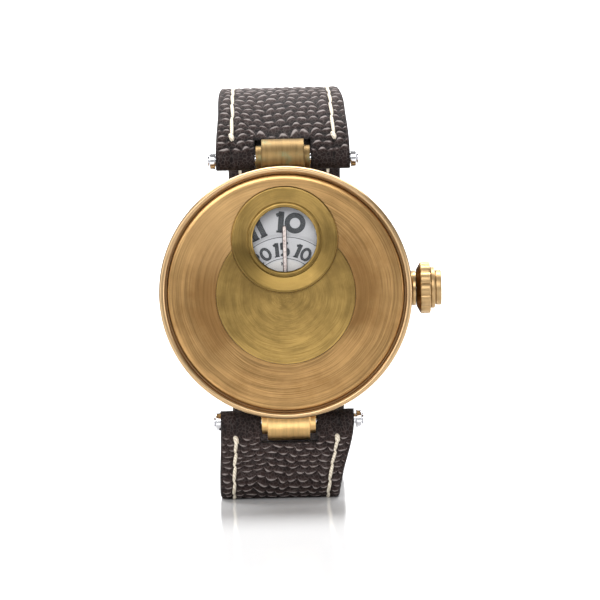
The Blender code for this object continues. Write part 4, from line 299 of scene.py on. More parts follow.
def carved(part, tools):
    """The part with each tool's solid taken away by an exact Boolean."""
    objects = []
    for i, shape in enumerate([part, *tools]):
        held = bpy.data.objects.new(f"carving_{i}", solid_mesh(f"carving_{i}", [shape]))
        bpy.context.scene.collection.objects.link(held)
        objects.append(held)
    for tool in objects[1:]:
        modifier = objects[0].modifiers.new("carve", "BOOLEAN")
        modifier.operation = "DIFFERENCE"
        modifier.solver = "EXACT"
        modifier.object = tool
    graph = bpy.context.evaluated_depsgraph_get()
    mesh = bpy.data.meshes.new_from_object(objects[0].evaluated_get(graph))
    points = np.zeros(len(mesh.vertices) * 3)
    mesh.vertices.foreach_get("co", points)
    faces = [list(polygon.vertices) for polygon in mesh.polygons]
    bpy.data.meshes.remove(mesh)
    for held in objects:
        old = held.data
        bpy.data.objects.remove(held, do_unlink=True)
        bpy.data.meshes.remove(old)
    return points.reshape(-1, 3), faces


# Finishes

class Value:
    """A socket's value, which takes part in sums: each operator adds a Math node."""

    def __init__(self, finish, socket):
        self.finish = finish
        self.socket = socket

    def math(self, operation, *others):
        """A Math node on this value and the others."""
        return self.finish.node("ShaderNodeMath", {"operation": operation}, self, *others)

    def __add__(self, other):
        return self.math("ADD", other)

    __radd__ = __add__

    def __mul__(self, other):
        return self.math("MULTIPLY", other)

    __rmul__ = __mul__

    def __sub__(self, other):
        return self.math("SUBTRACT", other)

    def __rsub__(self, other):
        return self * -1.0 + other

    def __truediv__(self, other):
        return self.math("DIVIDE", other)

    def __pow__(self, other):
        return self.math("POWER", other)


class Finish:
    """A node material under construction."""

    def __init__(self, name):
        self.material = bpy.data.materials.new(name)
        self.material.use_nodes = True
        self.tree = self.material.node_tree
        self.shader = self.tree.nodes["Principled BSDF"]

    def node(self, kind, settings, *values, out=0, **named):
        """Any node: its settings first, a ramp's stops among them, then its sockets in
        order or by name, each with a value or a link."""
        made = self.tree.nodes.new(kind)
        for key, value in settings.items():
            if key == "stops":
                ramp = made.color_ramp
                while len(ramp.elements) < len(value):
                    ramp.elements.new(0.5)
                for element, (position, colour) in zip(ramp.elements, value):
                    element.position = position
                    element.color = (*colour, 1.0)
            else:
                setattr(made, key, value)
        for key, value in [*enumerate(values), *named.items()]:
            if value is not None:
                self.feed(made.inputs[key], value)
        return Value(self, made.outputs[out])

    def feed(self, socket, value):
        """Link a value to a socket, or set the socket to a number, colour or vector."""
        if isinstance(value, Value):
            self.tree.links.new(value.socket, socket)
        elif socket.type == "RGBA" and len(value) == 3:
            socket.default_value = (*value, 1.0)
        else:
            socket.default_value = value

    def place(self, middle=(0.0, 0.0, 0.0)):
        """Where a point lies from a middle, in metres: X, Y and Z, and all three together."""
        coordinates = self.node("ShaderNodeTexCoord", {}, out=3)
        moved = self.node("ShaderNodeVectorMath", {"operation": "SUBTRACT"}, coordinates,
                          tuple(middle))
        split = self.node("ShaderNodeSeparateXYZ", {}, moved).socket.node
        return [Value(self, output) for output in split.outputs] + [moved]

    def noise(self, place, scale, detail=3.0, roughness=0.55):
        """A soft random value round 0.5, with scale grains to the metre."""
        return self.node("ShaderNodeTexNoise", {}, Vector=place, Scale=scale, Detail=detail,
                         Roughness=roughness)

    def cracks(self, place, scale):
        """The distance to the nearest border between random cells, scale of them to the
        metre."""
        return self.node("ShaderNodeTexVoronoi", {"feature": "DISTANCE_TO_EDGE"}, Vector=place,
                         Scale=scale)

    def joined(self, x, y, z):
        """A vector from its three parts."""
        return self.node("ShaderNodeCombineXYZ", {}, x, y, z)

    def attribute(self, name):
        """A number that the mesh holds at each point."""
        return self.node("ShaderNodeAttribute", {"attribute_name": name}, out=2)

    def blend(self, share, low, high):
        """A colour a share of the way from low to high."""
        return self.node("ShaderNodeMix", {"data_type": "RGBA"}, share, None, None, None, None,
                         None, low, high, out=2)

    def band(self, value, low, high):
        """0 below low, 1 above high, and a smooth step between."""
        return self.node("ShaderNodeMapRange", {"interpolation_type": "SMOOTHSTEP"}, value, low,
                         high)

    def bump(self, height, distance):
        """A normal bent by a height from 0 to 1 that stands for a distance in metres."""
        return self.node("ShaderNodeBump", {}, Strength=1.0, Distance=distance, Height=height)

    def done(self, **sockets):
        """The material, its shader's sockets fed by name with _ for each space."""
        for key, value in sockets.items():
            self.feed(self.shader.inputs[key.replace("_", " ")], value)
        return self.material


def ring_place(finish, middle):
    """A place for marks that run round the dial's normal: the distance from a middle, and
    the direction from it."""
    x, _, z, _ = finish.place(middle)
    radius = (x * x + z * z) ** 0.5
    return radius, x / (radius + TINY), z / (radius + TINY)


# Streaks, grains and cells to the metre
FINE_STREAKS, STREAKS, WIDE_STREAKS = 11000.0, 5000.0, 1000.0
LEATHER_PORES, LEATHER_GRAIN, LEATHER_CLOUDS, LEATHER_NET = 5200.0, 8200.0, 260.0, 1500.0
DISC_CIRCLES, DISC_CLOUDS = 30000.0, 420.0

# From the middle: how far up and down the painted shade changes, and where that at its sides
# fades
SHADE_ABOVE_REACH, SIDE_SHADE_FADE = 9.0 * MM, (13.0 * MM, 20.0 * MM)

# How deep the finest marks are
CIRCLE_DEPTH, PORE_DEPTH, TWIST_DEPTH, WEAR_DEPTH = 0.0015 * MM, 0.03 * MM, 0.05 * MM, 0.01 * MM

# Colours in linear light. The skirt's brown and the wire's dark side are painted shade.
GROOVE_BROWN, SKIRT_SHADE = (0.36, 0.215, 0.10), (0.16, 0.075, 0.015)
DISC_CREAM, WIRE_SIDE_SHADE = (0.66, 0.62, 0.56), (0.05, 0.03, 0.025)


def round_brushed(name, colours, height=0.0, roughness=0.34, cut=0.006 * MM, swirl=1.3,
                  wander=0.5 * MM, stain=None, painted_highlight=None, dark_inside=0.0):
    """Metal brushed in circles. Streaks at three sizes, given to the metre, are noise
    stretched round a middle, along a radius that wanders a little. stain is the colour and
    the share of its tarnish, and how much more of it is laid above and beside the middle as
    painted shade (below the middle where that share is under 0).
    polish gives the colour and the share of a painted highlight at the upper left. Inside
    a radius of dark_inside the metal is brown."""
    finish = Finish(name)
    radius, cosine, sine = ring_place(finish, (0.0, 0.0, AXIS_Z + height))
    whole = finish.place()[3]
    strayed = radius + (finish.noise(whole, 95.0, 2.0) - 0.5) * wander * 2

    def streaks(per_metre, turns):
        """Noise with so many streaks to the metre of radius, and few changes in a turn."""
        return finish.noise(finish.joined(strayed * per_metre, cosine * turns, sine * turns),
                            1.0, 3.0, 0.6)

    fine = streaks(FINE_STREAKS, swirl * 2.4)
    line = streaks(STREAKS, swirl * 1.5)
    wide = streaks(WIDE_STREAKS, swirl)
    cloud = finish.noise(whole, 190.0, 3.0)
    tone = finish.band(fine * 0.26 + line * 0.4 + wide * 0.16 + cloud * 0.18, 0.38, 0.62)
    colour = finish.blend(tone, *colours)
    if stain:
        tarnish, share, shade_above, shade_beside = stain
        blot = finish.noise(whole, 150.0, 6.0, 0.6)
        # Painted shade: more tarnish towards the top (the bottom for a share under 0) and at the
        # sides of the middle
        above = finish.band(radius * sine, -SHADE_ABOVE_REACH, SHADE_ABOVE_REACH)
        beside = finish.band(cosine * cosine, 0.3, 1.0) * (
            1 - finish.band(radius, *SIDE_SHADE_FADE))
        stain_and_shade = (blot * 0.7 + line * 0.2 + max(0.0, -shade_above) + above * shade_above
                + beside * shade_beside)
        colour = finish.blend(finish.band(stain_and_shade, 0.38, 0.74) * share, colour, tarnish)
    if painted_highlight:
        bright, share = painted_highlight
        # Painted highlight: a brighter zone towards the upper left
        highlit = finish.band(sine * 0.88 - cosine * 0.47, 0.5, 1.0)
        colour = finish.blend(highlit * share * (0.5 + line), colour, bright)
    if dark_inside:
        colour = finish.blend(finish.band(radius, dark_inside - 0.04 * MM, dark_inside),
                              GROOVE_BROWN, colour)
    return finish.done(
        Base_Color=colour, Metallic=1.0,
        Roughness=roughness + 0.14 * (wide - 0.5) + 0.18 * (line - 0.5),
        Normal=finish.bump(fine * 0.6 + line * 0.4, cut))


def bar_brushed(name, colours, roughness=0.34, lines=16000.0, cut=0.005 * MM, tint=None,
                dark_before=0.0):
    """Metal brushed round a line parallel to X: streaks are noise stretched across X. tint
    is the colour of its stains, and before an X of dark_before it is dark brown, as painted
    shade."""
    finish = Finish(name)
    x, y, z, whole = finish.place()
    fine = finish.noise(finish.joined(x * lines, y * 500.0, z * 500.0), 1.0, 3.0, 0.65)
    broad = finish.noise(finish.joined(x * lines * 0.1, y * 160.0, z * 160.0), 1.0, 3.0)
    tone = finish.band(fine * 0.5 + broad * 0.5, 0.35, 0.65)
    colour = finish.blend(tone, *colours)
    if tint:
        stain = finish.noise(whole, 330.0, 4.0, 0.65)
        colour = finish.blend(finish.band(stain, 0.5, 0.72) * 0.75, colour, tint)
    # Painted shade: dark brown on the crown's skirt, before the given X
    if dark_before:
        colour = finish.blend(finish.band(x, dark_before - 0.05 * MM, dark_before),
                              SKIRT_SHADE, colour)
    return finish.done(Base_Color=colour, Metallic=1.0,
                       Roughness=roughness + 0.2 * (fine - 0.5) + 0.1 * (broad - 0.5),
                       Normal=finish.bump(fine, cut))


def grained(name, colours, roughness, metallic, scale=9000.0, cut=0.004 * MM, spread=0.2):
    """A plain finish with fine grain: noise at two sizes in its tone, gloss and relief."""
    finish = Finish(name)
    whole = finish.place()[3]
    fine = finish.noise(whole, scale, 3.0, 0.6)
    broad = finish.noise(whole, scale * 0.06, 4.0, 0.6)
    return finish.done(Base_Color=finish.blend(finish.band(fine * 0.5 + broad * 0.5, 0.35, 0.65),
                                               *colours),
                       Metallic=metallic, Roughness=roughness + spread * (broad - 0.5),
                       Normal=finish.bump(fine, cut))


def disc_face(name, colours, inner_radius):
    """A silvered time disc: fine circles, a soft cloud, and a creamier zone in its middle."""
    finish = Finish(name)
    radius, cosine, sine = ring_place(finish, (0.0, 0.0, AXIS_Z))
    circles = finish.noise(finish.joined(radius * DISC_CIRCLES, cosine * 3, sine * 3), 1.0, 3.0)
    cloud = finish.noise(finish.place()[3], DISC_CLOUDS, 4.0)
    cream = 1.0 - finish.band(radius, inner_radius * 0.9, inner_radius)
    tone = finish.blend(finish.band(circles * 0.4 + cloud * 0.6, 0.3, 0.7), *colours)
    return finish.done(Base_Color=finish.blend(cream * 0.5, tone, DISC_CREAM),
                       Metallic=0.15, Roughness=0.42 + 0.1 * (circles - 0.5),
                       Normal=finish.bump(circles, CIRCLE_DEPTH))


def leather(name, colours, relief_share=1.0):
    """Dark grained leather: the relief attribute darkens its furrows with painted shade and
    greys its crests with painted highlights, a net of fine lines greys it a little, and pores
    roughen it."""
    finish = Finish(name)
    whole = finish.place()[3]
    low, middle, crest = colours
    relief = finish.attribute("relief")
    pores = finish.cracks(whole, LEATHER_PORES)
    fine = finish.noise(whole, LEATHER_GRAIN, 4.0, 0.7)
    cloud = finish.noise(whole, LEATHER_CLOUDS, 4.0, 0.6)
    # Painted shade: the furrow colour on the lowest relief
    tone = finish.blend(finish.band(relief + (cloud - 0.5) * 0.3, 0.08, 0.5), low, middle)
    # Painted highlight: the crest colour on the highest relief
    tone = finish.blend(finish.band(relief + (fine - 0.5) * 0.35, 0.55, 1.0) * relief_share,
                        tone, crest)
    grain = finish.band(pores, 0.0, 0.16)
    net = 1 - finish.band(finish.cracks(whole, LEATHER_NET), 0.0, 0.12)
    tone = finish.blend(net * cloud * 0.26 * relief_share, tone, crest)
    return finish.done(Base_Color=tone, Specular_IOR_Level=0.1,
                       Roughness=0.62 - 0.12 * relief + 0.22 * (cloud - 0.5) + 0.1 * (fine - 0.5),
                       Normal=finish.bump(grain * 0.55 + fine * 0.45, PORE_DEPTH))


def thread(name, colours):
    """Waxed linen thread: a twist of fine ridges, darker in the hollows between them."""
    finish = Finish(name)
    x, y, z, whole = finish.place()
    twist = finish.node("ShaderNodeMath", {"operation": "SINE"}, (z + y) * 9000.0 + x * 11000.0)
    fuzz = finish.noise(whole, 9000.0, 3.0, 0.7)
    ridge = finish.band(twist * 0.25 + 0.5 + (fuzz - 0.5) * 1.3, 0.05, 0.8)
    return finish.done(Base_Color=finish.blend(ridge, *colours), Roughness=0.75 - 0.15 * ridge,
                       Normal=finish.bump(ridge, TWIST_DEPTH))


def wire_finish(name, colours):
    """A plated wire with mottled wear, and painted shade where its side turns away from
    the viewer.
    """
    finish = Finish(name)
    whole = finish.place()[3]
    wear = finish.noise(whole, 2600.0, 4.0, 0.7)
    # Painted shade: the sides turned away from the viewer darken to a dark brown
    side_shade = finish.node("ShaderNodeLayerWeight", {}, 0.5, out=1)
    colour = finish.blend(finish.band(wear, 0.35, 0.65), *colours)
    return finish.done(
        Base_Color=finish.blend(finish.band(side_shade, 0.1, 0.42), colour, WIRE_SIDE_SHADE),
        Metallic=0.6, Roughness=0.3 + 0.2 * (wear - 0.5), Normal=finish.bump(wear, WEAR_DEPTH))


def crystal_glass(name):
    """Clear glass with faint smears: mostly see-through, with a sharp reflection."""
    finish = Finish(name)
    smear = finish.noise(finish.place()[3], 240.0, 4.0)
    finish.material.surface_render_method = "BLENDED"
    return finish.done(Base_Color=(0.3, 0.31, 0.33), Roughness=0.02 + 0.05 * smear,
                       Alpha=0.03 + 0.05 * smear)


FINISHES = {}


def make_finishes():
    """Every material, from the colours in the settings."""
    case, strap, dial = (bpy.context.scene.watch_case, bpy.context.scene.watch_strap,
                         bpy.context.scene.watch_dial)

    def shades(colour, dull, bright=1.0):
        """A dull and a bright shade of a colour."""
        return tuple(tuple(c * share for c in colour) for share in (dull, bright))

    hide = [tuple(c) for c in (strap.furrow_colour, strap.leather_colour, strap.crest_colour)]
    # Stain colours, laid both as tarnish and as painted shade
    red_stain_and_shade, olive_stain_and_shade, dark_stain_and_shade = (0.21, 0.105, 0.035), (0.14, 0.088, 0.028), (
        0.12, 0.078, 0.022)
    # A green stain, and the tint of the dish's painted highlight
    green_stain, highlight_tint = (0.11, 0.14, 0.08), (0.76, 0.49, 0.22)
    hub, seconds_hub, skirt = 0.1 * MM, 6.0 * MM, 0.7 * MM
    FINISHES.update({
        "rim": round_brushed("rim_bronze_brushed", shades(case.rim_colour, 0.82), roughness=0.3,
                             dark_inside=CASE_RADIUS - GROOVE_START),
        # The dish: painted shade at the sides of its middle, and a painted highlight at its upper
        # left
        "dish": round_brushed("dish_bronze_brushed", shades(case.dish_colour, 0.5),
                              roughness=0.34, cut=0.012 * MM, swirl=0.8, wander=0.4 * MM,
                              stain=(red_stain_and_shade, 0.7, 0.0, 0.3), painted_highlight=(highlight_tint, 0.38)),
        # The centre disc: its tarnish darker towards the top, as painted shade
        "disc": round_brushed("centre_brass_brushed", shades(case.brass_colour, 0.6),
                              BRASS_DISC_Z - AXIS_Z, 0.36, 0.012 * MM,
                              stain=(olive_stain_and_shade, 0.75, 0.22, 0.0)),
        # The window ring: its tarnish darker towards the bottom, as painted shade
        "window": round_brushed("window_brass_brushed", shades(case.brass_colour, 0.48, 0.82),
                                WINDOW_Z - AXIS_Z, 0.34, 0.008 * MM, wander=0.1 * MM,
                                stain=(dark_stain_and_shade, 0.75, -0.25, 0.0)),
        # The lugs are lit and shaded copies of one bronze: the upper one darkened as painted
        # shade, the lower one brightened as painted light
        "lug": bar_brushed("upper_lug_bronze_painted_shade", shades(case.lug_colour, 0.20, 0.33), 0.5,
                           tint=green_stain),
        "lower_lug": bar_brushed("lower_lug_bronze_painted_light",
                                 shades(case.lug_colour, 1.15, 1.45)),
        # The crown: its skirt dark brown as painted shade
        "crown": bar_brushed("crown_bronze_brushed", shades(case.crown_colour, 0.84),
                             roughness=0.42, dark_before=CROWN_START + skirt),
        "tube": bar_brushed("tube_bronze_brushed", shades(case.crown_colour, 0.84),
                            roughness=0.3),
        "buckle": grained("buckle_bronze_satin", shades(case.dish_colour, 0.8), 0.34, 1.0),
        "steel": bar_brushed("polished_steel", ((0.56, 0.56, 0.58), (0.74, 0.74, 0.76)),
                             roughness=0.16, cut=0.0015 * MM),
        "pointer": wire_finish("pointer_copper", ((0.46, 0.36, 0.33), (0.85, 0.76, 0.72))),
        "leather": leather("scaled_leather", hide),
        "keeper_leather": leather("keeper_leather", hide, 0.5),
        "thread": thread("linen_thread", ((0.50, 0.42, 0.31), tuple(strap.thread_colour))),
        "ink": grained("numeral_ink", shades(dial.ink_colour, 0.7), 0.45, 0.0, 5000.0),
        "hour_disc": disc_face("hour_disc_silvered", shades(dial.disc_colour, 0.93), hub),
        "minute_disc": disc_face("minute_disc_silvered", shades(dial.disc_colour, 0.92), hub),
        "seconds_disc": disc_face("seconds_disc_silvered", shades(dial.disc_colour, 0.92),
                                  seconds_hub),
        "glass": crystal_glass("crystal_glass"),
        "gilt": grained("frosted_gilt", ((0.50, 0.37, 0.18), (0.66, 0.51, 0.27)), 0.4, 1.0),
        "wheel": round_brushed("wheel_brass", ((0.42, 0.31, 0.13), (0.56, 0.42, 0.19)),
                               roughness=0.32),
        "blue": grained("blued_steel", ((0.02, 0.04, 0.16), (0.05, 0.10, 0.30)), 0.24, 1.0),
        "spring": grained("spring_copper", ((0.45, 0.30, 0.26), (0.62, 0.45, 0.40)), 0.3, 1.0),
        "rubber": grained("black_rubber", ((0.010, 0.010, 0.010), (0.024, 0.024, 0.024)), 0.7,
                          0.0),
    })


# Case, dial and window

RIM_CREST_WIDTH, RIM_CREST_HEIGHT = 1.1 * MM, 0.42 * MM
GROOVE_START, GROOVE_DEPTH = 1.04 * MM, 1.5 * MM
LEDGE_RADIUS, LEDGE_DEPTH, RIM_BORE = 21.12 * MM, 1.94 * MM, 18.6 * MM
BAND_WALL, BACK_PLUG_WALL, PLUG_RING_WIDTH = 2.9 * MM, 2.94 * MM, 1.0 * MM
FAR_FRONT, THROUGH = -1 * MM, 3 * MM


def make_rim(steps):
    """Rim: a rounded crest, the groove inside it and the ledge under the dish."""
    outer, inner, back = CASE_RADIUS, CASE_RADIUS - RIM_CREST_WIDTH, RIM_SIZE[1]
    side_start, bevel, bevel_height, ease = 0.9 * MM, 0.25 * MM, 0.3 * MM, 0.08 * MM
    t = np.linspace(0.0, 1.0, 15)
    top = np.stack([inner + RIM_CREST_WIDTH * t,
                    RIM_CREST_HEIGHT * np.abs(2 * t - 1) ** 2.4], -1)
    rest = [(outer, side_start), (outer, back - bevel_height), (outer - bevel, back),
            (RIM_BORE, back), (RIM_BORE, LEDGE_DEPTH), (LEDGE_RADIUS, LEDGE_DEPTH),
            (LEDGE_RADIUS, GROOVE_DEPTH), (inner, GROOVE_DEPTH)]
    return dial_lathe(np.concatenate([top, eased(rest, ease, 3, False)]), steps)


def make_band(steps):
    """The case band behind the rim: a plain ring with eased edges."""
    middle, size = box_of("case_middle")
    front = float(middle[1] - size[1] / 2) - FRONT_Y
    back = front + size[1]
    inner, ease = BODY_RADIUS - BAND_WALL, 0.12 * MM
    profile = [(BODY_RADIUS, front), (BODY_RADIUS, back), (inner, back), (inner, front)]
    return dial_lathe(eased(profile, ease), steps)


def make_back(steps):
    """The case back: a flat disc with a turned groove by its edge, and a ring in front of it
    that plugs into the band."""
    outer, back, thick, edge, ease = BODY_RADIUS, BACK_DEPTH, 1.3 * MM, 0.4 * MM, 0.1 * MM
    inner = back - thick
    groove_in, groove_out, cut, slope = 3.1 * MM, 2.6 * MM, 0.12 * MM, 0.1 * MM
    collar = float(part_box("case_back")[0].y) - FRONT_Y
    plug = BODY_RADIUS - BACK_PLUG_WALL
    plug_bore = plug - PLUG_RING_WIDTH
    profile = [(0.0, back), (outer - groove_in, back), (outer - groove_in + slope, back - cut),
               (outer - groove_out - slope, back - cut), (outer - groove_out, back),
               (outer - edge, back), (outer, back - edge), (outer, inner),
               (plug, inner), (plug, collar), (plug_bore, collar), (plug_bore, inner),
               (0.0, inner)]
    return dial_lathe(eased(profile, ease, 3, False), steps)


def bowl(radius, rim_depth, drop, rings=26):
    """A shallow bowl from its middle to its edge: depth = rim + drop (1 - t^2)."""
    t = np.linspace(0.0, 1.0, rings)
    return np.stack([radius * t, rim_depth + drop * (1 - t * t)], -1)


def drum(radius, low, high, height=0.0, steps=192):
    """A plain round tool along the dial's normal between two depths."""
    return dial_lathe([(0.0, low), (radius, low), (radius, high), (0.0, high)], steps, height)


def make_dish(steps):
    """The bronze dish: a rounded shoulder round a shallow bowl, cut away for the brass disc,
    the window ring and its spigot."""
    shoulder, radius = 0.9 * MM, DISH_RADIUS + 0.2 * MM
    edge_depth, bowl_drop, shoulder_drop, back = 0.38 * MM, 1.0 * MM, 0.47 * MM, 1.9 * MM
    t = np.linspace(0.0, 1.0, 9)[1:] * math.pi / 2
    edge = np.stack([radius - shoulder + shoulder * np.sin(t),
                     edge_depth + shoulder_drop * (1 - np.cos(t))], -1)
    front = np.concatenate([bowl(radius - shoulder, edge_depth, bowl_drop), edge])
    profile = np.concatenate([front, [(radius, back), (0.0, back)]])
    disc_gap, ring_gap, spigot_gap, seat = 0.07 * MM, 0.12 * MM, 0.08 * MM, 1.5 * MM
    window = WINDOW_Z - AXIS_Z
    return carved(dial_lathe(profile, steps), [
        drum(BRASS_DISC_RADIUS + disc_gap, FAR_FRONT, seat, BRASS_DISC_Z - AXIS_Z),
        drum(WINDOW_RING_RADIUS + ring_gap, FAR_FRONT, seat, window),
        drum(SPIGOT_RADIUS + spigot_gap, FAR_FRONT, THROUGH, window)])


def make_brass_disc(steps):
    """The raised brass disc: a bowl with a chamfered rim, bitten by the window ring."""
    ease, rim_depth, bowl_drop, back, gap = 0.16 * MM, 0.78 * MM, 0.58 * MM, 1.46 * MM, 0.08 * MM
    front = bowl(BRASS_DISC_RADIUS - ease, rim_depth, bowl_drop)
    profile = np.concatenate([front, [
        (BRASS_DISC_RADIUS - ease * 0.3, rim_depth + 0.03 * MM),
        (BRASS_DISC_RADIUS, rim_depth + ease), (BRASS_DISC_RADIUS, back), (0.0, back)]])
    bite = drum(WINDOW_RING_RADIUS + gap, FAR_FRONT, THROUGH, WINDOW_Z - AXIS_Z)
    return carved(dial_lathe(profile, steps, BRASS_DISC_Z - AXIS_Z), [bite])


# The window ring's profile, outwards from its bore and backwards from the rim's front
RING_BORE, RING_REBATE, SPIGOT_RADIUS = 5.75 * MM, 6.19 * MM, 6.5 * MM
RING_SEAT, SPIGOT_END = 1.46 * MM, 2.25 * MM


def make_window_ring(steps):
    """The window ring: a sloping face between a crisp outer edge and a rolled inner lip. At a
    share t of its way in, the lip's depth is 0.86 - 0.06 sin(pi t) + 0.16 t^3 mm."""
    outer = WINDOW_RING_RADIUS
    edge, land, slope_start = outer - 0.10 * MM, outer - 0.42 * MM, outer - 0.50 * MM
    edge_back, edge_front, land_depth, slope_front = 0.50 * MM, 0.36 * MM, 0.32 * MM, 0.37 * MM
    slope_end, slope_back, groove_depth = 6.72 * MM, 0.74 * MM, 0.95 * MM
    groove_outer, groove_inner, lip_back, ease = 6.58 * MM, 6.46 * MM, 1.1 * MM, 0.05 * MM
    face = [(outer, edge_back), (edge, edge_front), (land, land_depth),
            (slope_start, slope_front), (slope_end, slope_back), (groove_outer, groove_depth),
            (groove_inner, groove_depth)]
    lip_start, lip_width = 6.40, 0.65
    t = np.linspace(0.0, 1.0, 8)
    lip = np.stack([(lip_start - lip_width * t) * MM,
                    (0.86 - 0.06 * np.sin(math.pi * t) + 0.16 * t**3) * MM], -1)
    rest = [(RING_BORE, lip_back), (RING_BORE, RING_SEAT), (RING_REBATE, RING_SEAT),
            (RING_REBATE, SPIGOT_END), (SPIGOT_RADIUS, SPIGOT_END), (SPIGOT_RADIUS, RING_SEAT),
            (outer, RING_SEAT)]
    profile = np.concatenate([eased(face, ease, 3, False), lip, rest])
    return dial_lathe(profile, steps, WINDOW_Z - AXIS_Z)


def make_plate(node, steps, ease, ease_steps, height=0.0):
    """A flat round plate that fills a CAD node's box, its edges eased."""
    low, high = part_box(node)
    profile = plate_profile((high.x - low.x) / 2, low.y - FRONT_Y, high.y - FRONT_Y, ease,
                            ease_steps)
    return dial_lathe(profile, steps, height)


def make_pointer():
    """The pointer: a wire with a rounded tip, and the foot that holds it under the dish."""
    low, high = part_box("pointer")
    radius, foot_length, start, behind, ease = 0.39 * MM, 1.2 * MM, 0.3 * MM, 0.24 * MM, 0.1 * MM
    depth = high.y - FRONT_Y - behind
    t = np.linspace(0.0, math.pi / 2, 6)
    long = high.z - low.z - start
    profile = np.concatenate([[(0.0, 0.0)], [(radius, 0.0)], np.stack(
        [radius * np.cos(t), long - radius + radius * np.sin(t)], -1)])
    profile[-1, 0] = 0.0
    wire = turned(profile, 20, (0.0, FRONT_Y + depth, low.z + start), UPWARD, RIGHT)
    height = np.array([low.z, low.z + foot_length])
    path = np.stack([np.zeros(2), np.full(2, (low.y + high.y) / 2), height], -1)
    foot = swept(path, np.tile(RIGHT, (2, 1)), np.tile(AHEAD, (2, 1)),
                 soft_box((high.x - low.x) / 2, (high.y - low.y) / 2, ease))
    return [wire, foot]


# Time discs

INK_THICKNESS = 0.012 * MM
INK_LINE_WIDTH = 0.12 * MM


def arc(x, y, radius_x, radius_y, first, last, points=18):
    """Points on part of an ellipse, degrees from first to last."""
    t = np.radians(np.linspace(first, last, points))
    return np.stack([x + radius_x * np.cos(t), y + radius_y * np.sin(t)], -1)


def line(*points):
    """A stroke's corners."""
    return np.array(points, float)


# Each numeral on a body one unit high: centre lines with their widths, and its width. The o
# is the minutes' narrow zero.
NUMERALS = {
    "0": ([(arc(0, 0, 0.37, 0.37, 0, 360, 40), 0.25)], 0.98),
    "o": ([(arc(0, 0, 0.27, 0.385, 0, 360, 40), 0.2)], 0.78),
    "1": ([(line((0.04, 0.5), (0.04, -0.5)), 0.27), (line((-0.2, 0.30), (0.04, 0.42)), 0.17),
           (line((-0.15, -0.45), (0.2, -0.45)), 0.1)], 0.42),
    "2": ([(arc(0, 0.19, 0.25, 0.21, 170, -35), 0.2), (line((0.2, 0.08), (-0.26, -0.38)), 0.2),
           (line((-0.34, -0.42), (0.34, -0.42)), 0.17)], 0.76),
    "3": ([(arc(0, 0.22, 0.22, 0.19, 150, -90), 0.19), (arc(0, -0.2, 0.27, 0.21, 90, -150), 0.2)],
          0.74),
    "4": ([(line((0.12, 0.5), (0.12, -0.5)), 0.22), (line((-0.36, -0.16), (0.34, -0.16)), 0.16),
           (line((0.08, 0.44), (-0.31, -0.15)), 0.14)], 0.78),
    "5": ([(line((-0.22, 0.42), (0.28, 0.42)), 0.16), (line((-0.2, 0.46), (-0.2, 0.0)), 0.17),
           (arc(-0.02, -0.16, 0.27, 0.25, 125, -150), 0.2)], 0.7),
    "6": ([(arc(0, -0.16, 0.26, 0.25, 0, 360, 32), 0.2),
           (arc(0.22, -0.1, 0.48, 0.56, 178, 108), 0.19)], 0.78),
    "7": ([(line((-0.32, 0.42), (0.32, 0.42)), 0.16), (line((0.24, 0.4), (-0.08, -0.5)), 0.21)],
          0.72),
    "8": ([(arc(0, 0.25, 0.2, 0.17, 0, 360, 28), 0.17),
           (arc(0, -0.2, 0.26, 0.22, 0, 360, 32), 0.19)], 0.78),
    "9": ([(arc(0, 0.16, 0.30, 0.27, 0, 360, 32), 0.22),
           (arc(-0.22, 0.1, 0.52, 0.56, -2, -72), 0.2)], 0.86),
}


def stroke(path, width):
    """The two edges of a stroke: each path point moved half the width to either side, square
    to the path's direction there."""
    ring = np.allclose(path[0], path[-1])
    if ring:
        path = path[:-1]
    along = directions(path, ring)
    side = np.stack([-along[:, 1], along[:, 0]], -1) * width / 2
    return path + side, path - side, ring


def numeral_parts(text, size, radius, bearing, front):
    """A number printed on a disc: its strokes as thin slabs, turned so that its top points
    away from the dial's axis. bearing is clockwise from straight up, in degrees."""
    widths = [NUMERALS[digit][1] for digit in text]
    start = -sum(widths) / 2
    turn = math.radians(bearing)
    parts = []
    for digit, width in zip(text, widths):
        middle = start + width / 2
        start += width
        for path, weight in NUMERALS[digit][0]:
            left, right, ring = stroke(path, weight)
            edges = np.stack([left, right], 1) * size
            x = edges[..., 0] + middle * size
            y = edges[..., 1] + radius
            plan_x = x * math.cos(turn) + y * math.sin(turn)
            plan_y = y * math.cos(turn) - x * math.sin(turn)
            layers = [on_dial(plan_x, plan_y, front + depth)
                      for depth in (-INK_THICKNESS, INK_THICKNESS)]
            loop = np.stack([layers[0][:, 0], layers[0][:, 1], layers[1][:, 1],
                             layers[1][:, 0]], 1)
            count = len(loop)
            faces = cells(count, 4, ring, True).tolist()
            if not ring:
                faces += [[0, 1, 2, 3], [4 * count - 4 + i for i in range(4)]]
            parts.append((loop.reshape(-1, 3), faces))
    return parts


def ring_line(node, inset, front, steps):
    """A thin printed circle, an inset inside a disc's edge."""
    outer = box_of(node)[1][0] / 2 - inset
    inner = outer - INK_LINE_WIDTH
    low, high = front - INK_THICKNESS, front + INK_THICKNESS
    return dial_lathe([(inner, low), (outer, low), (outer, high), (inner, high)], steps)


# Crown and lugs

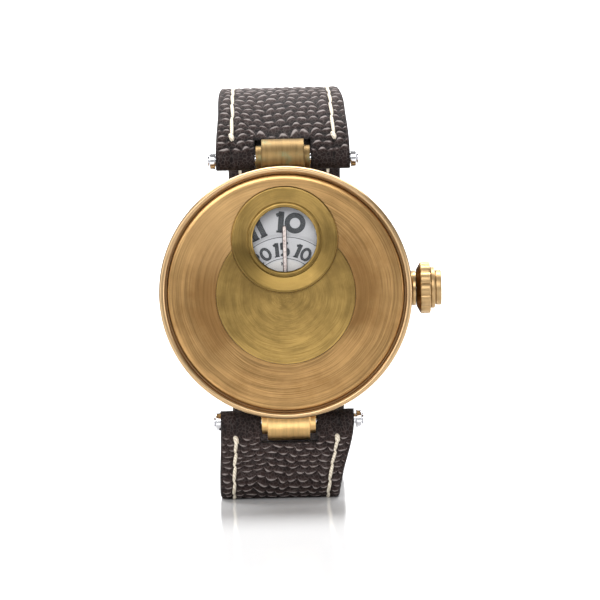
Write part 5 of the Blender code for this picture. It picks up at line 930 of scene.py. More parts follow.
def make_crown(steps, lobes):
    """The crown round X: a bevelled skirt, a wheel of lobes, a step and a cap. On the wheel
    the radius is less by a share of 1 - |cos(lobes t / 2)|^0.8."""
    low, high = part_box("crown")
    start, end = low.x, high.x
    wheel, step, cap = start + 0.75 * MM, start + 2.5 * MM, start + 3.3 * MM
    cap_undercut, cap_fillet, step_fillet, ease = 0.18 * MM, 0.14 * MM, 0.12 * MM, 0.2 * MM
    cap_radius, cap_neck, step_radius, step_neck, wheel_radius, skirt_radius = (
        3.15 * MM, 2.98 * MM, 3.7 * MM, 3.5 * MM, 4.6 * MM, 3.25 * MM)
    profile = eased([
        (0.0, end), (cap_radius, end), (cap_radius, cap + cap_undercut),
        (cap_neck, cap + cap_fillet), (cap_neck, cap), (step_radius, cap),
        (step_radius, step + step_fillet), (step_neck, step), (wheel_radius, step),
        (wheel_radius, wheel), (skirt_radius, start), (0.0, start)], ease, 5, False)
    lobe_share, lobe_start, lobe_ramp = 0.075, 3.75 * MM, 0.5 * MM

    def lobed(t, place):
        """The factor on the radius at an angle t, which is 1 off the wheel."""
        share = smooth((place[..., 0] - lobe_start) / lobe_ramp)
        swell = np.abs(np.cos(lobes * t / 2)) ** 0.8
        return 1 - lobe_share * share * (1 - swell)

    middle = (low + high) / 2
    return turned(profile, steps, (0.0, middle.y, middle.z), RIGHT, -AHEAD, lobed)


def make_tube(steps):
    """The crown's tube, with a fine groove by its end."""
    low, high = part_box("crown_tube")
    radius = (high.z - low.z) / 2
    shoulder = BODY_RADIUS + 0.04 * MM
    bore, spigot, neck, ease = 1.25 * MM, 1.8 * MM, radius - 0.12 * MM, 0.08 * MM
    groove = [(radius, 0.55 * MM), (neck, 0.62 * MM), (neck, 0.72 * MM), (radius, 0.8 * MM)]
    profile = eased([
        (bore, high.x), (radius, high.x), *((out, high.x - back) for out, back in groove),
        (radius, shoulder), (spigot, shoulder), (spigot, low.x), (bore, low.x)], ease, 3)
    middle = (low + high) / 2
    return turned(profile, steps, (0.0, middle.y, middle.z), RIGHT, AHEAD)


def make_lug(side, steps):
    """A lug: a drum between two collars, on a foot that runs back to the case band."""
    drum_radius, half, collar, end = 3.6 * MM, 3.8 * MM, 2.45 * MM, 4.85 * MM
    bore, ease = BAR_RADIUS + 0.05 * MM, 0.13 * MM
    profile = eased([
        (bore, end), (collar, end), (collar, half), (drum_radius, half), (drum_radius, -half),
        (collar, -half), (collar, -end), (bore, -end)], ease)
    height = side * BAR_HEIGHT
    barrel = side_lathe(profile, steps, BAR_DEPTH, height)
    front, back, overlap, gap = 4.5 * MM, 9.9 * MM, 0.6 * MM, 0.1 * MM
    inset, foot_ease = 0.16 * MM, 0.2 * MM
    heights = np.array([BODY_RADIUS - overlap, BAR_HEIGHT - BAR_RADIUS - gap])
    path = on_dial(np.zeros(2), side * heights, np.full(2, (front + back) / 2))
    foot = swept(path, np.tile(RIGHT, (2, 1)), np.tile(AHEAD, (2, 1)),
                 soft_box(half - inset, (back - front) / 2, foot_ease))
    return [barrel, foot]


def make_bar_and_screws(side, steps):
    """A steel bar, and the stepped screw head at each of its ends."""
    half = BAR_SIZE[0] / 2
    height = side * BAR_HEIGHT
    bar = side_lathe(plate_profile(BAR_RADIUS, half, -half, 0.1 * MM), steps, BAR_DEPTH, height)
    face, head, tip, shank_end = (half + 0.04 * MM, half + 0.99 * MM, half + 1.39 * MM,
                                  half - 2.2 * MM)
    tip_radius, neck, head_radius, shank = 1.05 * MM, 0.86 * MM, 1.65 * MM, 0.6 * MM
    undercut, fillet, ease = 0.14 * MM, 0.1 * MM, 0.12 * MM
    profile = eased([
        (0.0, tip), (tip_radius, tip), (tip_radius, head + undercut), (neck, head + fillet),
        (neck, head), (head_radius, head), (head_radius, face), (shank, face),
        (shank, shank_end), (0.0, shank_end)], ease, 4, False)
    mirrored = profile * (1, -1)
    return bar, [side_lathe(shape, steps, BAR_DEPTH, height) for shape in (mirrored, profile)]


# Strap

# The loop's side view: its crest, its back run, its foot, and how far the front leans out
CREST_DEPTH = 31.0 * MM
LOOP_TOP = 34.2 * MM
BACK_RUN_DEPTH = 56.0 * MM
BACK_RUN_TOP = 14.2 * MM
BACK_RUN_BOTTOM = -14.0 * MM
FOOT_FRONT_RADIUS = 4.0 * MM
FOOT_BACK_DEPTH = 36.0 * MM
LEAN = 0.02

# The two halves: their ends, thicknesses, widths and holes
LOOP_RADIUS = 1.9 * MM
FOLD_RADIUS = 2.0 * MM
THICK, SHORT_END, TAIL_THICK = 3.2 * MM, 2.6 * MM, 2.4 * MM
WIDE, WIDTH = 24.0 * MM, 21.6 * MM
THINNEST = 0.05 * MM
PIN_HEIGHT = -2.0 * MM
TONGUE_SLOT = (-7.7, -2.4)
FIRST_HOLE, HOLE_STEP, HOLE_RADIUS = -5.2 * MM, 6.5 * MM, 1.0 * MM
STRAP_GAP = 0.25 * MM
NOTCH_HALF = 5.03 * MM
NOTCH_REACH = 3.78 * MM
SLOT_HALF = 1.5 * MM
PRESS_DEPTH, PRESS_RAMP = 0.2 * MM, 2 * MM

# The faces: their rounded edges, columns of points, seams, scales and the leather's inside
EDGE = 0.55 * MM
EDGE_SPAN = EDGE * 1.2
SLOT_COLUMNS, NOTCH_COLUMNS, SIDE_COLUMNS = 8, 19, 31
SEAM_GROOVE_WIDTH, SEAM_GROOVE_DEPTH = 0.42 * MM, 0.1 * MM
NARROWING_SHARE, MOST_NARROWING = 0.6, -1.2 * MM
ROW_STRETCHES = np.array([-5.0, 6.0, 13.0, 28.0, 120.0]) * MM
LIP_WIDTH, LIP_LENGTH = 1.2 * MM, 1.5 * MM
PEBBLE_DEPTH = 0.05 * MM
FOLD_CLEAR = 4.0 * MM
EDGE_FADE, NOTCH_FADE = 0.6 * MM, 0.3 * MM
NARROWEST_GRID = 8.0 * MM
SHIFT_RAMP = 3.0 * MM


def loop_line():
    """The strap loop's middle line as depth, height and distance run: quarter ellipses over
    the top and down to the back run, round to the foot, and up to the lower bar."""
    bottom = THICK / 2 - AXIS_Z
    start = math.acos(1 / (1 + LEAN))
    reach = (CREST_DEPTH - BAR_DEPTH) * (1 + LEAN)
    rise = (LOOP_TOP - BAR_HEIGHT) / (1 - math.sin(start))
    front = BAR_DEPTH + FOOT_FRONT_RADIUS
    turn = np.linspace(0.0, math.pi / 2, 160)
    opening = np.linspace(start, math.pi / 2, 160)
    back = BACK_RUN_DEPTH - CREST_DEPTH
    legs = [
        (CREST_DEPTH - reach * np.cos(opening), LOOP_TOP - rise * (1 - np.sin(opening))),
        (CREST_DEPTH + back * np.sin(turn),
         BACK_RUN_TOP + (LOOP_TOP - BACK_RUN_TOP) * np.cos(turn)),
        (FOOT_BACK_DEPTH + (BACK_RUN_DEPTH - FOOT_BACK_DEPTH) * np.cos(turn),
         BACK_RUN_BOTTOM + (bottom - BACK_RUN_BOTTOM) * np.sin(turn)),
        (front - FOOT_FRONT_RADIUS * np.sin(turn),
         bottom + FOOT_FRONT_RADIUS * (1 - np.cos(turn))),
        (np.array([BAR_DEPTH]), np.array([-BAR_HEIGHT])),
    ]
    depth = np.concatenate([leg[0] for leg in legs])
    height = np.concatenate([leg[1] for leg in legs])
    keep = np.concatenate([[True], np.hypot(np.diff(depth), np.diff(height)) > TINY])
    depth, height = depth[keep], height[keep]
    steps = np.hypot(np.diff(depth), np.diff(height))
    return depth, height, np.concatenate([[0.0], np.cumsum(steps)])


LOOP = loop_line()
LOOP_RUN = float(LOOP[2][-1])


def on_loop(x, run, out):
    """World points `out` outside the loop's middle line at a distance run, and the outward
    direction there. Past its ends the line goes on straight."""
    x, run, out = np.broadcast_arrays(x, run, out)
    depths, heights, runs = LOOP
    inside = np.clip(run, 0.0, LOOP_RUN)
    reach = 0.35 * MM
    ends = [np.clip(inside + step, 0.0, LOOP_RUN) for step in (-reach, reach)]
    along = [np.interp(ends[1], runs, places) - np.interp(ends[0], runs, places)
             for places in (depths, heights)]
    length = np.hypot(*along)
    ahead, climb = along[0] / length, along[1] / length
    depth = np.interp(inside, runs, depths) + ahead * (run - inside) - climb * out
    height = np.interp(inside, runs, heights) + climb * (run - inside) + ahead * out
    outward = np.stack([np.zeros_like(ahead), -climb, ahead], -1)
    return on_dial(x, height, depth), outward


def run_at_height(height):
    """The distance run where the loop's straight back stretch is at a height."""
    depths, heights, runs = LOOP
    back = depths > BACK_RUN_DEPTH - 0.05 * MM
    order = np.argsort(heights[back])
    return float(np.interp(height, heights[back][order], runs[back][order]))


PIN_RUN = run_at_height(PIN_HEIGHT)
UPPER_LAST = PIN_RUN - 2 * FOLD_RADIUS
TIP_PAST_CORNER, TIP_LENGTH = 15.0 * MM, 9.0 * MM
TIP_RUN = run_at_height(BACK_RUN_TOP) - TIP_PAST_CORNER
BAR_RAMP = 8.0 * MM

# Widths, each eased into the next between two distances from the bar
UPPER_ENDS, UPPER_WIDTHS = (0.0, 12.0 * MM, 30.0 * MM, 60.0 * MM), (
    WIDE, 23.0 * MM, 22.1 * MM, WIDTH)
LOWER_ENDS, LOWER_WIDTHS = (0.0, 14.0 * MM), (WIDE, WIDTH)
FOLD_NARROWING = 0.5 * MM

# How far each half leans to the left, and where the lean starts and ends
UPPER_LEAN, UPPER_LEAN_START, UPPER_LEAN_GROWS = 0.6 * MM, 3.0 * MM, 32.0 * MM
UPPER_LEAN_HOLDS, UPPER_LEAN_FADES = 38.0 * MM, 20.0 * MM
LOWER_LEANS = (0.25, 1.6)
LOWER_LEAN_HOLDS, LOWER_LEAN_FADES = 12.0 * MM, 60.0 * MM

# Heights on the back run, in mm, between which the tail climbs and settles
CLIMB_LOW, CLIMB_HIGH, SETTLED_HEIGHT = -11.0, -3.0, 3.0


def half_width(from_bar, ends, widths):
    """Half the strap's width, eased from one of the widths to the next between the ends."""
    width = widths[0] + 0 * from_bar
    for start, end, before, after in zip(ends, ends[1:], widths, widths[1:]):
        width = width + (after - before) * smooth((from_bar - start) / (end - start))
    return width / 2


def upper_section(run):
    """Offset, thickness, half width and shift of the short half at a distance run."""
    body = mix(THICK, SHORT_END, smooth(run / UPPER_LAST))
    to_pin = smooth((run - UPPER_LAST) / (PIN_RUN - UPPER_LAST))
    thick = mix(2 * LOOP_RADIUS, body, smooth(run / BAR_RAMP))
    thick = mix(thick, 2 * FOLD_RADIUS, to_pin)
    start = 2 * np.sqrt(np.clip(LOOP_RADIUS**2 - run**2, 0, None))
    end = 2 * np.sqrt(np.clip(FOLD_RADIUS**2 - (run - PIN_RUN) ** 2, 0, None))
    thick = np.where(run < 0, start, np.where(run > PIN_RUN, end, thick))
    half = half_width(run, UPPER_ENDS, UPPER_WIDTHS) - FOLD_NARROWING * to_pin
    shift = -UPPER_LEAN * smooth((run - UPPER_LEAN_START) / UPPER_LEAN_GROWS) * (
        1 - smooth((run - UPPER_LEAN_HOLDS) / UPPER_LEAN_FADES))
    return np.zeros_like(run), np.maximum(thick, THINNEST), half, shift


def lower_section(run):
    """Offset, thickness, half width and shift of the long half. Its tail slips under the
    buckle, climbs over the pin and settles on the short half."""
    from_bar = LOOP_RUN - run
    foot_end = AXIS_Z - BAR_HEIGHT + FOOT_BACK_DEPTH - BAR_DEPTH
    past_foot = (from_bar - foot_end) / (LOOP_RUN - PIN_RUN - foot_end)
    body = mix(THICK, TAIL_THICK, smooth(past_foot))
    thick = mix(2 * LOOP_RADIUS, body, smooth(from_bar / BAR_RAMP))
    end = 2 * np.sqrt(np.clip(LOOP_RADIUS**2 - from_bar**2, 0, None))
    thick = np.where(from_bar < 0, end, thick)
    share = np.clip((TIP_RUN + TIP_LENGTH - run) / TIP_LENGTH, 0.0, 1.0)
    tip = np.clip((1 - share**3), 0.03, 1.0) ** 0.6
    half = half_width(from_bar, LOWER_ENDS, LOWER_WIDTHS) * tip
    back = smooth((from_bar - LOWER_LEAN_HOLDS) / LOWER_LEAN_FADES)
    lean = LOWER_LEANS[0] + LOWER_LEANS[1] * smooth(from_bar / LOWER_ENDS[1])
    shift = -lean * MM * (1 - back)
    over_pin = FOLD_RADIUS + STRAP_GAP + TAIL_THICK / 2
    over_strap = (SHORT_END + TAIL_THICK) / 2 + STRAP_GAP
    low, high, settled = (run_at_height(height * MM) for height in (
        CLIMB_LOW, CLIMB_HIGH, SETTLED_HEIGHT))
    climb = over_pin * smooth((low - run) / (low - high))
    rest = mix(over_strap, over_pin, smooth((run - settled) / (PIN_RUN - settled)))
    return np.where(run >= PIN_RUN, climb, rest), np.maximum(thick, THINNEST), half, shift


class StrapHalf:
    """What differs between the two halves of the strap. section gives a half's shape at a
    distance run, and from_bar turns a distance run into one from its bar, or back. rows are
    the heights of its rows of scales in mm, over the stretches of ROW_STRETCHES. lip_share
    is their sharp part, and the relief grows from a start over a fade. By the notch the
    outer face reaches notch_lip further to the bar. The seams follow seam_share of the
    half's lean, and their stitches slant, and sink where the buckle and keepers press."""

    def __init__(self, **values):
        self.__dict__.update(values)


UPPER_HALF = StrapHalf(
    section=upper_section, from_bar=lambda run: run, rows=(1.25, 1.75, 2.4, 2.0),
    lip_share=0.3, relief_start=0.3 * MM, relief_fade=0.6 * MM, notch_lip=0.9 * MM,
    pressed=(57.0 * MM, 68.0 * MM), seam_share=0.7, first_stitch=6.0 * MM,
    last_stitch=UPPER_LAST - 2 * MM, slant=-0.26 * MM, sink=0.22 * MM)
LOWER_HALF = StrapHalf(
    section=lower_section, from_bar=lambda run: LOOP_RUN - run, rows=(1.15, 1.0, 1.0, 2.0),
    lip_share=0.65, relief_start=1.4 * MM, relief_fade=2.6 * MM, notch_lip=0.0,
    pressed=(82.0 * MM, 99.0 * MM), seam_share=0.9, first_stitch=4.4 * MM,
    last_stitch=LOOP_RUN - TIP_RUN - TIP_LENGTH - 1 * MM, slant=0.22 * MM, sink=0.36 * MM)


def hash_of(a, b):
    """A fixed random share for each pair of whole numbers."""
    value = np.sin(a * 127.1 + b * 311.7) * 43758.5453
    return value - np.floor(value)


def scale_relief(x, rows, width, lip_share):
    """Leather scales as a height from 0 to 1, and the thin crests by their arcs, where the
    highlights are painted. Rows of shields overlap like tiles: each ends in an arc, and the
    next row starts in the hollows between arcs, half a shield across. A shield rises to its
    arc, the last lip_share of it as a sharp lip. Slow sines bend the rows and shift the
    shields."""
    v = rows + 0.18 * np.sin(x * 700 + rows * 0.35) + 0.12 * np.sin(
        x * 1900 + rows * 0.7) + 0.32 * np.sin(x * 310 + rows * 0.23)
    x = x / width + 0.14 * np.sin(rows * 0.9) + 0.08 * np.sin(x * 950 + rows * 1.3)
    row = np.floor(v)
    rise = v - row
    arc_share = 0.5

    def across(row_number):
        """The shield in a row, and the share of the way across it."""
        place = x + 0.5 * (row_number % 2) + 0.16 * np.sin(row_number * 2.4) + 0.05 * np.sin(
            v * 1.7 + x * 2.0)
        return np.floor(place), place - np.floor(place)

    column, share = across(row)
    top = 1 - arc_share * (2 * share - 1) ** 2
    above = rise > top
    next_column, next_share = across(row + 1)
    rise = np.where(above, rise - 1, rise)
    column = np.where(above, next_column, column)
    share = np.where(above, next_share, share)
    row = np.where(above, row + 1, row)
    top = 1 - arc_share * (2 * share - 1) ** 2
    under = -arc_share * (1 - np.abs(2 * share - 1)) ** 2
    up = np.clip((rise - under) / (top - under), 0.0, 1.0)
    side = np.abs(2 * share - 1)
    rise = (1 - lip_share) * smooth(up / 0.7) + lip_share * smooth((up - 0.62) / 0.2)
    swell = (0.1 + 0.9 * rise) * (1 - 0.5 * smooth((up - 0.88) / 0.12))
    crest = np.exp(-((up - 0.84) / (0.155 - 0.11 * lip_share)) ** 2) * (
        1 - 0.7 * (1 - lip_share) * side**3)
    varied = 0.8 + 0.2 * hash_of(column, row)
    return (1 - 0.8 * side**4) * swell * varied, crest * varied


def strap_columns(half, shift, inner_shift):
    """The X of each column of points: fixed lines at the slot's and the notch's sides, even
    ones between, and close ones by the edges."""
    edge = np.array([0.0, 0.1, 0.25, 0.5, 1.0])
    reference = np.maximum(half, NARROWEST_GRID)[:, None]
    spans = [np.linspace(low, high, count, endpoint=False)[None] + 0 * reference
             for low, high, count in ((0.0, SLOT_HALF, SLOT_COLUMNS),
                                      (SLOT_HALF, NOTCH_HALF, NOTCH_COLUMNS))]
    t = np.linspace(0.0, 1.0, SIDE_COLUMNS, endpoint=False)[None]
    spans.append(mix(NOTCH_HALF, reference - EDGE_SPAN, t))
    spans.append(reference - EDGE_SPAN * (1 - edge[None]) ** 1.5)
    right = np.concatenate(spans, 1) * (half[:, None] / reference)
    x = np.concatenate([-right[:, :0:-1], right], 1)
    moved = np.abs(x) > NOTCH_HALF * (half[:, None] / reference)
    beyond = smooth((np.abs(x) - NOTCH_HALF) / SHIFT_RAMP)
    return x + np.where(moved, mix(inner_shift[:, None], shift[:, None], beyond),
                        inner_shift[:, None])


def round_hole(x, run, middle, radius, keep):
    """Take the cells round a middle away and draw their border onto a circle."""
    distance = np.hypot(x, run - middle)
    rows, columns = distance.shape
    centre = sum(distance[i:rows - 1 + i, j:columns - 1 + j] for i in (0, 1)
                 for j in (0, 1)) / 4
    inside = centre < radius
    keep &= ~inside
    touched = np.zeros_like(distance)
    for i in (0, 1):
        for j in (0, 1):
            touched[i:rows - 1 + i, j:columns - 1 + j] += inside
    border = (touched > 0) & (touched < 4)
    pull = np.where(border, radius / np.maximum(distance, TINY), 1.0)
    return x * pull, middle + (run - middle) * pull


def pressed(run, span):
    """1 where the buckle and keepers press a strap half flat, else 0."""
    return smooth((run - span[0]) / PRESS_RAMP) * smooth((span[1] - run) / PRESS_RAMP)


def seam_line(half, inset):
    """From a strap's middle to a seam, which takes a share of the strap's narrowing."""
    return inset + NARROWING_SHARE * np.clip(half - WIDE / 2, MOST_NARROWING, 0.0)


def make_strap(kind, rows, slots, holes, relief_depth, scale_width, seam_inset):
    """A strap half as a sheet between an outer and an inner face, with slots between two
    runs and round holes at a run. Outer = loop line + (offset + half the thickness + relief)
    outwards, and the faces turn down to each other by the edges in a quarter circle."""
    offset, _, half, shift = kind.section(rows)
    from_bar = kind.from_bar(rows)
    inner_shift = shift * smooth((from_bar - NOTCH_REACH) / BAR_RAMP)
    x = strap_columns(half, shift, inner_shift)
    run = np.repeat(rows[:, None], x.shape[1], 1)
    keep = np.ones((x.shape[0] - 1, x.shape[1] - 1), bool)
    mid_x = (x[:-1, :-1] + x[1:, 1:]) / 2
    mid_run = (run[:-1, :-1] + run[1:, 1:]) / 2
    near_bar = kind.from_bar(mid_run) < NOTCH_REACH
    keep &= ~(near_bar & (np.abs(mid_x) < NOTCH_HALF))
    for low, high in slots:
        keep &= ~((mid_run > low) & (mid_run < high) & (np.abs(mid_x) < SLOT_HALF))
    for middle in holes:
        x, run = round_hole(x, run, middle, HOLE_RADIUS, keep)
    offset, thick, half, shift = kind.section(run)
    from_bar = kind.from_bar(run)
    to_edge = np.clip(half - np.abs(x - shift), 0.0, None)
    ease = np.minimum(EDGE, thick * 0.42)
    drop = ease - np.sqrt(np.clip(ease**2 - (ease - np.minimum(to_edge, ease)) ** 2, 0, None))
    sharp = kind.lip_share
    rows_passed = np.cumsum(np.diff(ROW_STRETCHES) / (np.array(kind.rows) * MM))
    row_at = np.interp(from_bar, ROW_STRETCHES, np.concatenate([[0.0], rows_passed]))
    scales, crest = scale_relief(x - shift, row_at, scale_width, sharp)
    grown = smooth((from_bar - kind.relief_start) / kind.relief_fade)
    edge_fade = smooth(to_edge / EDGE_FADE)
    phase = x * 3300 + from_bar * 700 + 1.6 * np.sin(x * 900 + from_bar * 1100)
    # Painted shade: the creases by the bar also darken the tone
    creases = -((1 - np.abs(np.sin(phase))) ** 3) * (1 - grown) * 0.17
    seam = np.exp(-((np.abs(x - shift * kind.seam_share) - seam_line(half, seam_inset))
                    / SEAM_GROOVE_WIDTH) ** 2)
    relief = (scales * grown + 0.2 * (1 - grown)) * (1 - 0.5 * seam)
    flat = pressed(run, kind.pressed)
    bumps = ((relief - 0.5 + creases) * relief_depth * edge_fade - seam * SEAM_GROOVE_DEPTH) * (
        1 - 0.6 * flat) - PRESS_DEPTH * flat
    by_notch = smooth((NOTCH_HALF + LIP_WIDTH - np.abs(x)) / LIP_WIDTH) * smooth(
        1 - (from_bar - NOTCH_REACH) / LIP_LENGTH) * (from_bar > NOTCH_REACH - 0.01 * MM)
    outer, _ = on_loop(x, run - kind.notch_lip * by_notch, offset + thick / 2 - drop + bumps)
    pebble = 0.5 + 0.25 * np.sin(x * 5200 + 2 * np.sin(run * 2600)) * np.sin(
        run * 5600 + x * 900)
    inner, _ = on_loop(x, run, offset - thick / 2 + drop - (pebble - 0.5) * PEBBLE_DEPTH
                       * edge_fade)
    points, faces, used = shell(outer, inner, keep)
    # Painted shade: the notch's cut wall and its edge darken to the furrow colour
    notch_shade = smooth(np.maximum(np.abs(x) - NOTCH_HALF, from_bar - NOTCH_REACH)
                      / NOTCH_FADE)
    # Painted light: the relief darkens furrows and creases as painted shade, and the crest arcs
    # are painted highlights
    tone = np.clip(0.45 * relief + 0.33 * sharp * grown + 0.2 * (1 - grown) + creases
                   + (0.6 + 0.05 * sharp) * crest * grown * (1 - 0.6 * seam), 0, 1)
    # Painted shade: the inner face darkens in the fold by the bar
    fold_shade = smooth((from_bar - FOLD_CLEAR / 2) / FOLD_CLEAR)
    shade = np.concatenate([(mix(0.22, tone, edge_fade) * notch_shade).ravel(),
                            (0.55 * pebble * fold_shade).ravel()])[used]
    return points, faces, shade


def stitch_row(kind, runs, side, face, seam_inset, length, radius, slant):
    """Stitches along a seam on one side and face of a strap half, their middles at the runs.
    Each is a bent capsule: at a share t of its length its middle rises from the leather as
    1 - (2t-1)^4 and its radius shrinks to its ends."""
    t = np.linspace(0.0, 1.0, 7)[None, :]
    run = np.asarray(runs, float)[:, None] + (t - 0.5) * length
    offset, thick, half, shift = kind.section(run)
    lift = 1 - np.abs(2 * t - 1) ** 4
    tilt = slant * (t - 0.5) * np.where(np.arange(len(runs)) % 2, 1.0, 0.75)[:, None]
    x = side * seam_line(half, seam_inset) + kind.seam_share * shift + tilt
    middle, outward = on_loop(x, run, offset + face * (thick / 2 + radius * (
        0.6 * lift - 0.5) - kind.sink * pressed(run, kind.pressed)))
    around = np.linspace(0.0, TURN, 6, endpoint=False)
    size = radius * (1 - 0.55 * np.abs(2 * t - 1) ** 4)[..., None, None]
    ring = (np.cos(around)[:, None] * RIGHT + np.sin(around)[:, None] * outward[..., None, :])
    points = middle[..., None, :] + size * ring
    count, rings, sides = points.shape[:3]
    faces = cells(rings, sides, False, True)
    caps = [list(range(sides)), list(range((rings - 1) * sides, rings * sides))]
    return [(points[i].reshape(-1, 3), faces.tolist() + caps) for i in range(count)]


# Keepers and buckle

def make_keeper(node):
    """A leather keeper: a softly rounded section carried round a rounded rectangle, and the
    relief of its grain."""
    middle, size = box_of(node)
    half = size / 2
    wall, bend, edge, step, tall_steps = 1.2 * MM, 1.3 * MM, 0.42 * MM, 0.5 * MM, 9
    route = soft_box(half[0] - wall / 2, half[1] - wall / 2, bend, 10)
    edges = np.hypot(*(np.roll(route, -1, 0) - route).T)
    route = filled(route, np.maximum(1, (edges / step).astype(int)))
    along = directions(route, True)
    across = np.stack([along[:, 1], -along[:, 0], np.zeros(len(along))], -1)
    path = np.stack([middle[0] + route[:, 0], middle[1] + route[:, 1],
                     np.full(len(route), middle[2])], -1)
    section = soft_box(wall / 2, half[2], edge, 5)
    tall = np.abs(np.roll(section, -1, 0) - section)[:, 1] > 2 * step
    section = filled(section, np.where(tall, tall_steps, 1))
    grain = 1 + 0.05 * np.sin(np.arange(len(route)) * 1.7)[:, None] * np.cos(
        section[None, :, 1] * 2400)
    varied = np.stack([section[None, :, 0] * grain, np.broadcast_to(section[:, 1], grain.shape)],
                      -1)
    points, faces = swept(path, across, np.tile(UPWARD, (len(path), 1)), varied, True)
    relief = 0.45 + 0.25 * np.sin(points[:, 0] * 3100) * np.cos(points[:, 2] * 2700)
    return (points, faces), relief


def round_wire(path, radius, sides):
    """A round wire along a path: a circle square to the path at each of its points."""
    along = directions(path)
    side = np.cross(along, [0.0, 0.35, 0.94])
    side /= np.linalg.norm(side, axis=1)[:, None]
    return swept(path, side, np.cross(side, along), round_section(radius, sides))


PIN_BORE = 0.85 * MM


def make_eye(radius, half, ease, steps, middle):
    """A ring round the buckle's pin."""
    profile = [(PIN_BORE, half), (radius, half), (radius, -half), (PIN_BORE, -half)]
    return turned(eased(profile, ease), steps, middle, RIGHT, AHEAD)


def make_buckle(steps):
    """The buckle frame: a wire bent round its far bar, with an ear at each end."""
    low, high = corners_of("buckle_frame")
    _, pin_y, pin_z = box_of("buckle_pin")[0]
    wire, side, bend = 1.2 * MM, 12.3 * MM, 1.9 * MM
    ear, ear_half, ease = 1.7 * MM, 1.2 * MM, 0.25 * MM
    bar_y, bar_z = high[1] - wire, low[2] + wire
    corners = [(side, pin_y, pin_z), (side, bar_y, bar_z), (-side, bar_y, bar_z),
               (-side, pin_y, pin_z)]
    return [round_wire(eased(corners, bend, 14, False), wire, 20)] + [
        make_eye(ear, ear_half, ease, steps, (x, pin_y, pin_z)) for x in (side, -side)]


def make_tongue(steps):
    """The tongue: an eye round the pin and a blade that lies on the far bar."""
    low, high = corners_of("buckle_tongue")
    pin = box_of("buckle_pin")[0]
    half = (high[0] - low[0]) / 2
    thick, bend, knee, eye = 1.0 * MM, 2.2 * MM, AXIS_Z - 6.6 * MM, 1.55 * MM
    behind_pin, below_pin, above_tip = 1.0 * MM, 0.6 * MM, 0.1 * MM
    blade_ease, eye_ease = 0.3 * MM, 0.2 * MM
    outer = high[1] - thick / 2
    corners = [(0.0, pin[1] + behind_pin, pin[2] - below_pin), (0.0, outer, knee),
               (0.0, outer, low[2] + above_tip)]
    path = eased(corners, bend, 12, False)
    count = len(path)
    taper = np.linspace(1.0, 0.82, count)
    section = soft_box(half, thick / 2, blade_ease)
    sections = section[None] * np.stack([taper, np.ones(count)], -1)[:, None]
    blade = swept(path, np.tile(RIGHT, (count, 1)), np.cross(directions(path), RIGHT), sections)
    return [blade, make_eye(eye, half, eye_ease, steps, pin)]


# Settings

def colour_setting(name, text, default):
    """A colour property, in linear light."""
    return bpy.props.FloatVectorProperty(name=name, description=text, default=default,
                                         subtype="COLOR", size=3, min=0.0, max=1.0)


def length_setting(name, text, default):
    """A length property, in metres."""
    return bpy.props.FloatProperty(name=name, description=text, default=default, min=0.0,
                                   subtype="DISTANCE", unit="LENGTH", precision=5)


class WatchCaseSettings(bpy.types.PropertyGroup):
    """The case: how finely it is turned, its crown's lobes and its colours"""

    steps: bpy.props.IntProperty(name="Steps round", default=240, min=24, max=720,
                                 description="Facets round each turned piece of the case")
    lobes: bpy.props.IntProperty(name="Crown lobes", default=12, min=6, max=24,
                                 description="Lobes round the crown's wheel")
    rim_colour: colour_setting("Rim", "Bronze of the rim", (0.52, 0.35, 0.185))
    dish_colour: colour_setting("Dish", "Bronze of the dished dial", (0.53, 0.315, 0.125))
    brass_colour: colour_setting("Brass", "Brass of the centre disc and window ring",
                                 (0.46, 0.30, 0.095))
    lug_colour: colour_setting("Lugs", "Bronze of the lugs", (0.66, 0.43, 0.18))
    crown_colour: colour_setting("Crown", "Bronze of the crown", (0.42, 0.28, 0.135))


class WatchDialSettings(bpy.types.PropertyGroup):
    """The time discs: their colours and the time that they show"""

    disc_colour: colour_setting("Discs", "Silvering of the time discs", (0.49, 0.49, 0.505))
    ink_colour: colour_setting("Ink", "Colour of the numerals", (0.014, 0.017, 0.020))
    hour_at_top: bpy.props.FloatProperty(name="Hour at the top", default=10.174, min=0.0,
                                         max=12.0, description="The hour under the pointer")
    minute_at_top: bpy.props.FloatProperty(name="Minute at the top", default=14.25, min=0.0,
                                           max=60.0, description="The minute under the pointer")
    second_at_top: bpy.props.FloatProperty(name="Second at the top", default=9.4, min=0.0,
                                           max=60.0, description="The second under the pointer")


class WatchStrapSettings(bpy.types.PropertyGroup):
    """The strap: its scales, its stitches and its colours"""

    scale_width: length_setting("Scale width", "Width of one leather scale", 1.95 * MM)
    upper_relief: length_setting("Upper relief", "Depth of the furrows above the dial", 0.46 * MM)
    lower_relief: length_setting("Lower relief", "Depth of the furrows below the dial", 0.34 * MM)
    upper_stitch: length_setting("Upper stitch", "Length of a stitch above the dial", 5.0 * MM)
    lower_stitch: length_setting("Lower stitch", "Length of a stitch below the dial", 2.4 * MM)
    thread_radius: length_setting("Thread radius", "Half the thread's thickness", 0.31 * MM)
    seam_inset: length_setting("Seam from middle", "From the strap's middle to a seam", 9.2 * MM)
    leather_colour: colour_setting("Leather", "Colour of the leather", (0.028, 0.0165, 0.0145))
    # The furrow colour is painted shade between the scales, in the notch and in the fold
    furrow_colour: colour_setting("Furrows", "Colour between the scales",
                                  (0.005, 0.0035, 0.0035))
    # The crest colour is a painted highlight on the scales' crests
    crest_colour: colour_setting("Crests", "Colour of the scales' worn crests",
                                 (0.235, 0.205, 0.195))
    thread_colour: colour_setting("Thread", "Colour of the thread", (0.82, 0.75, 0.62))


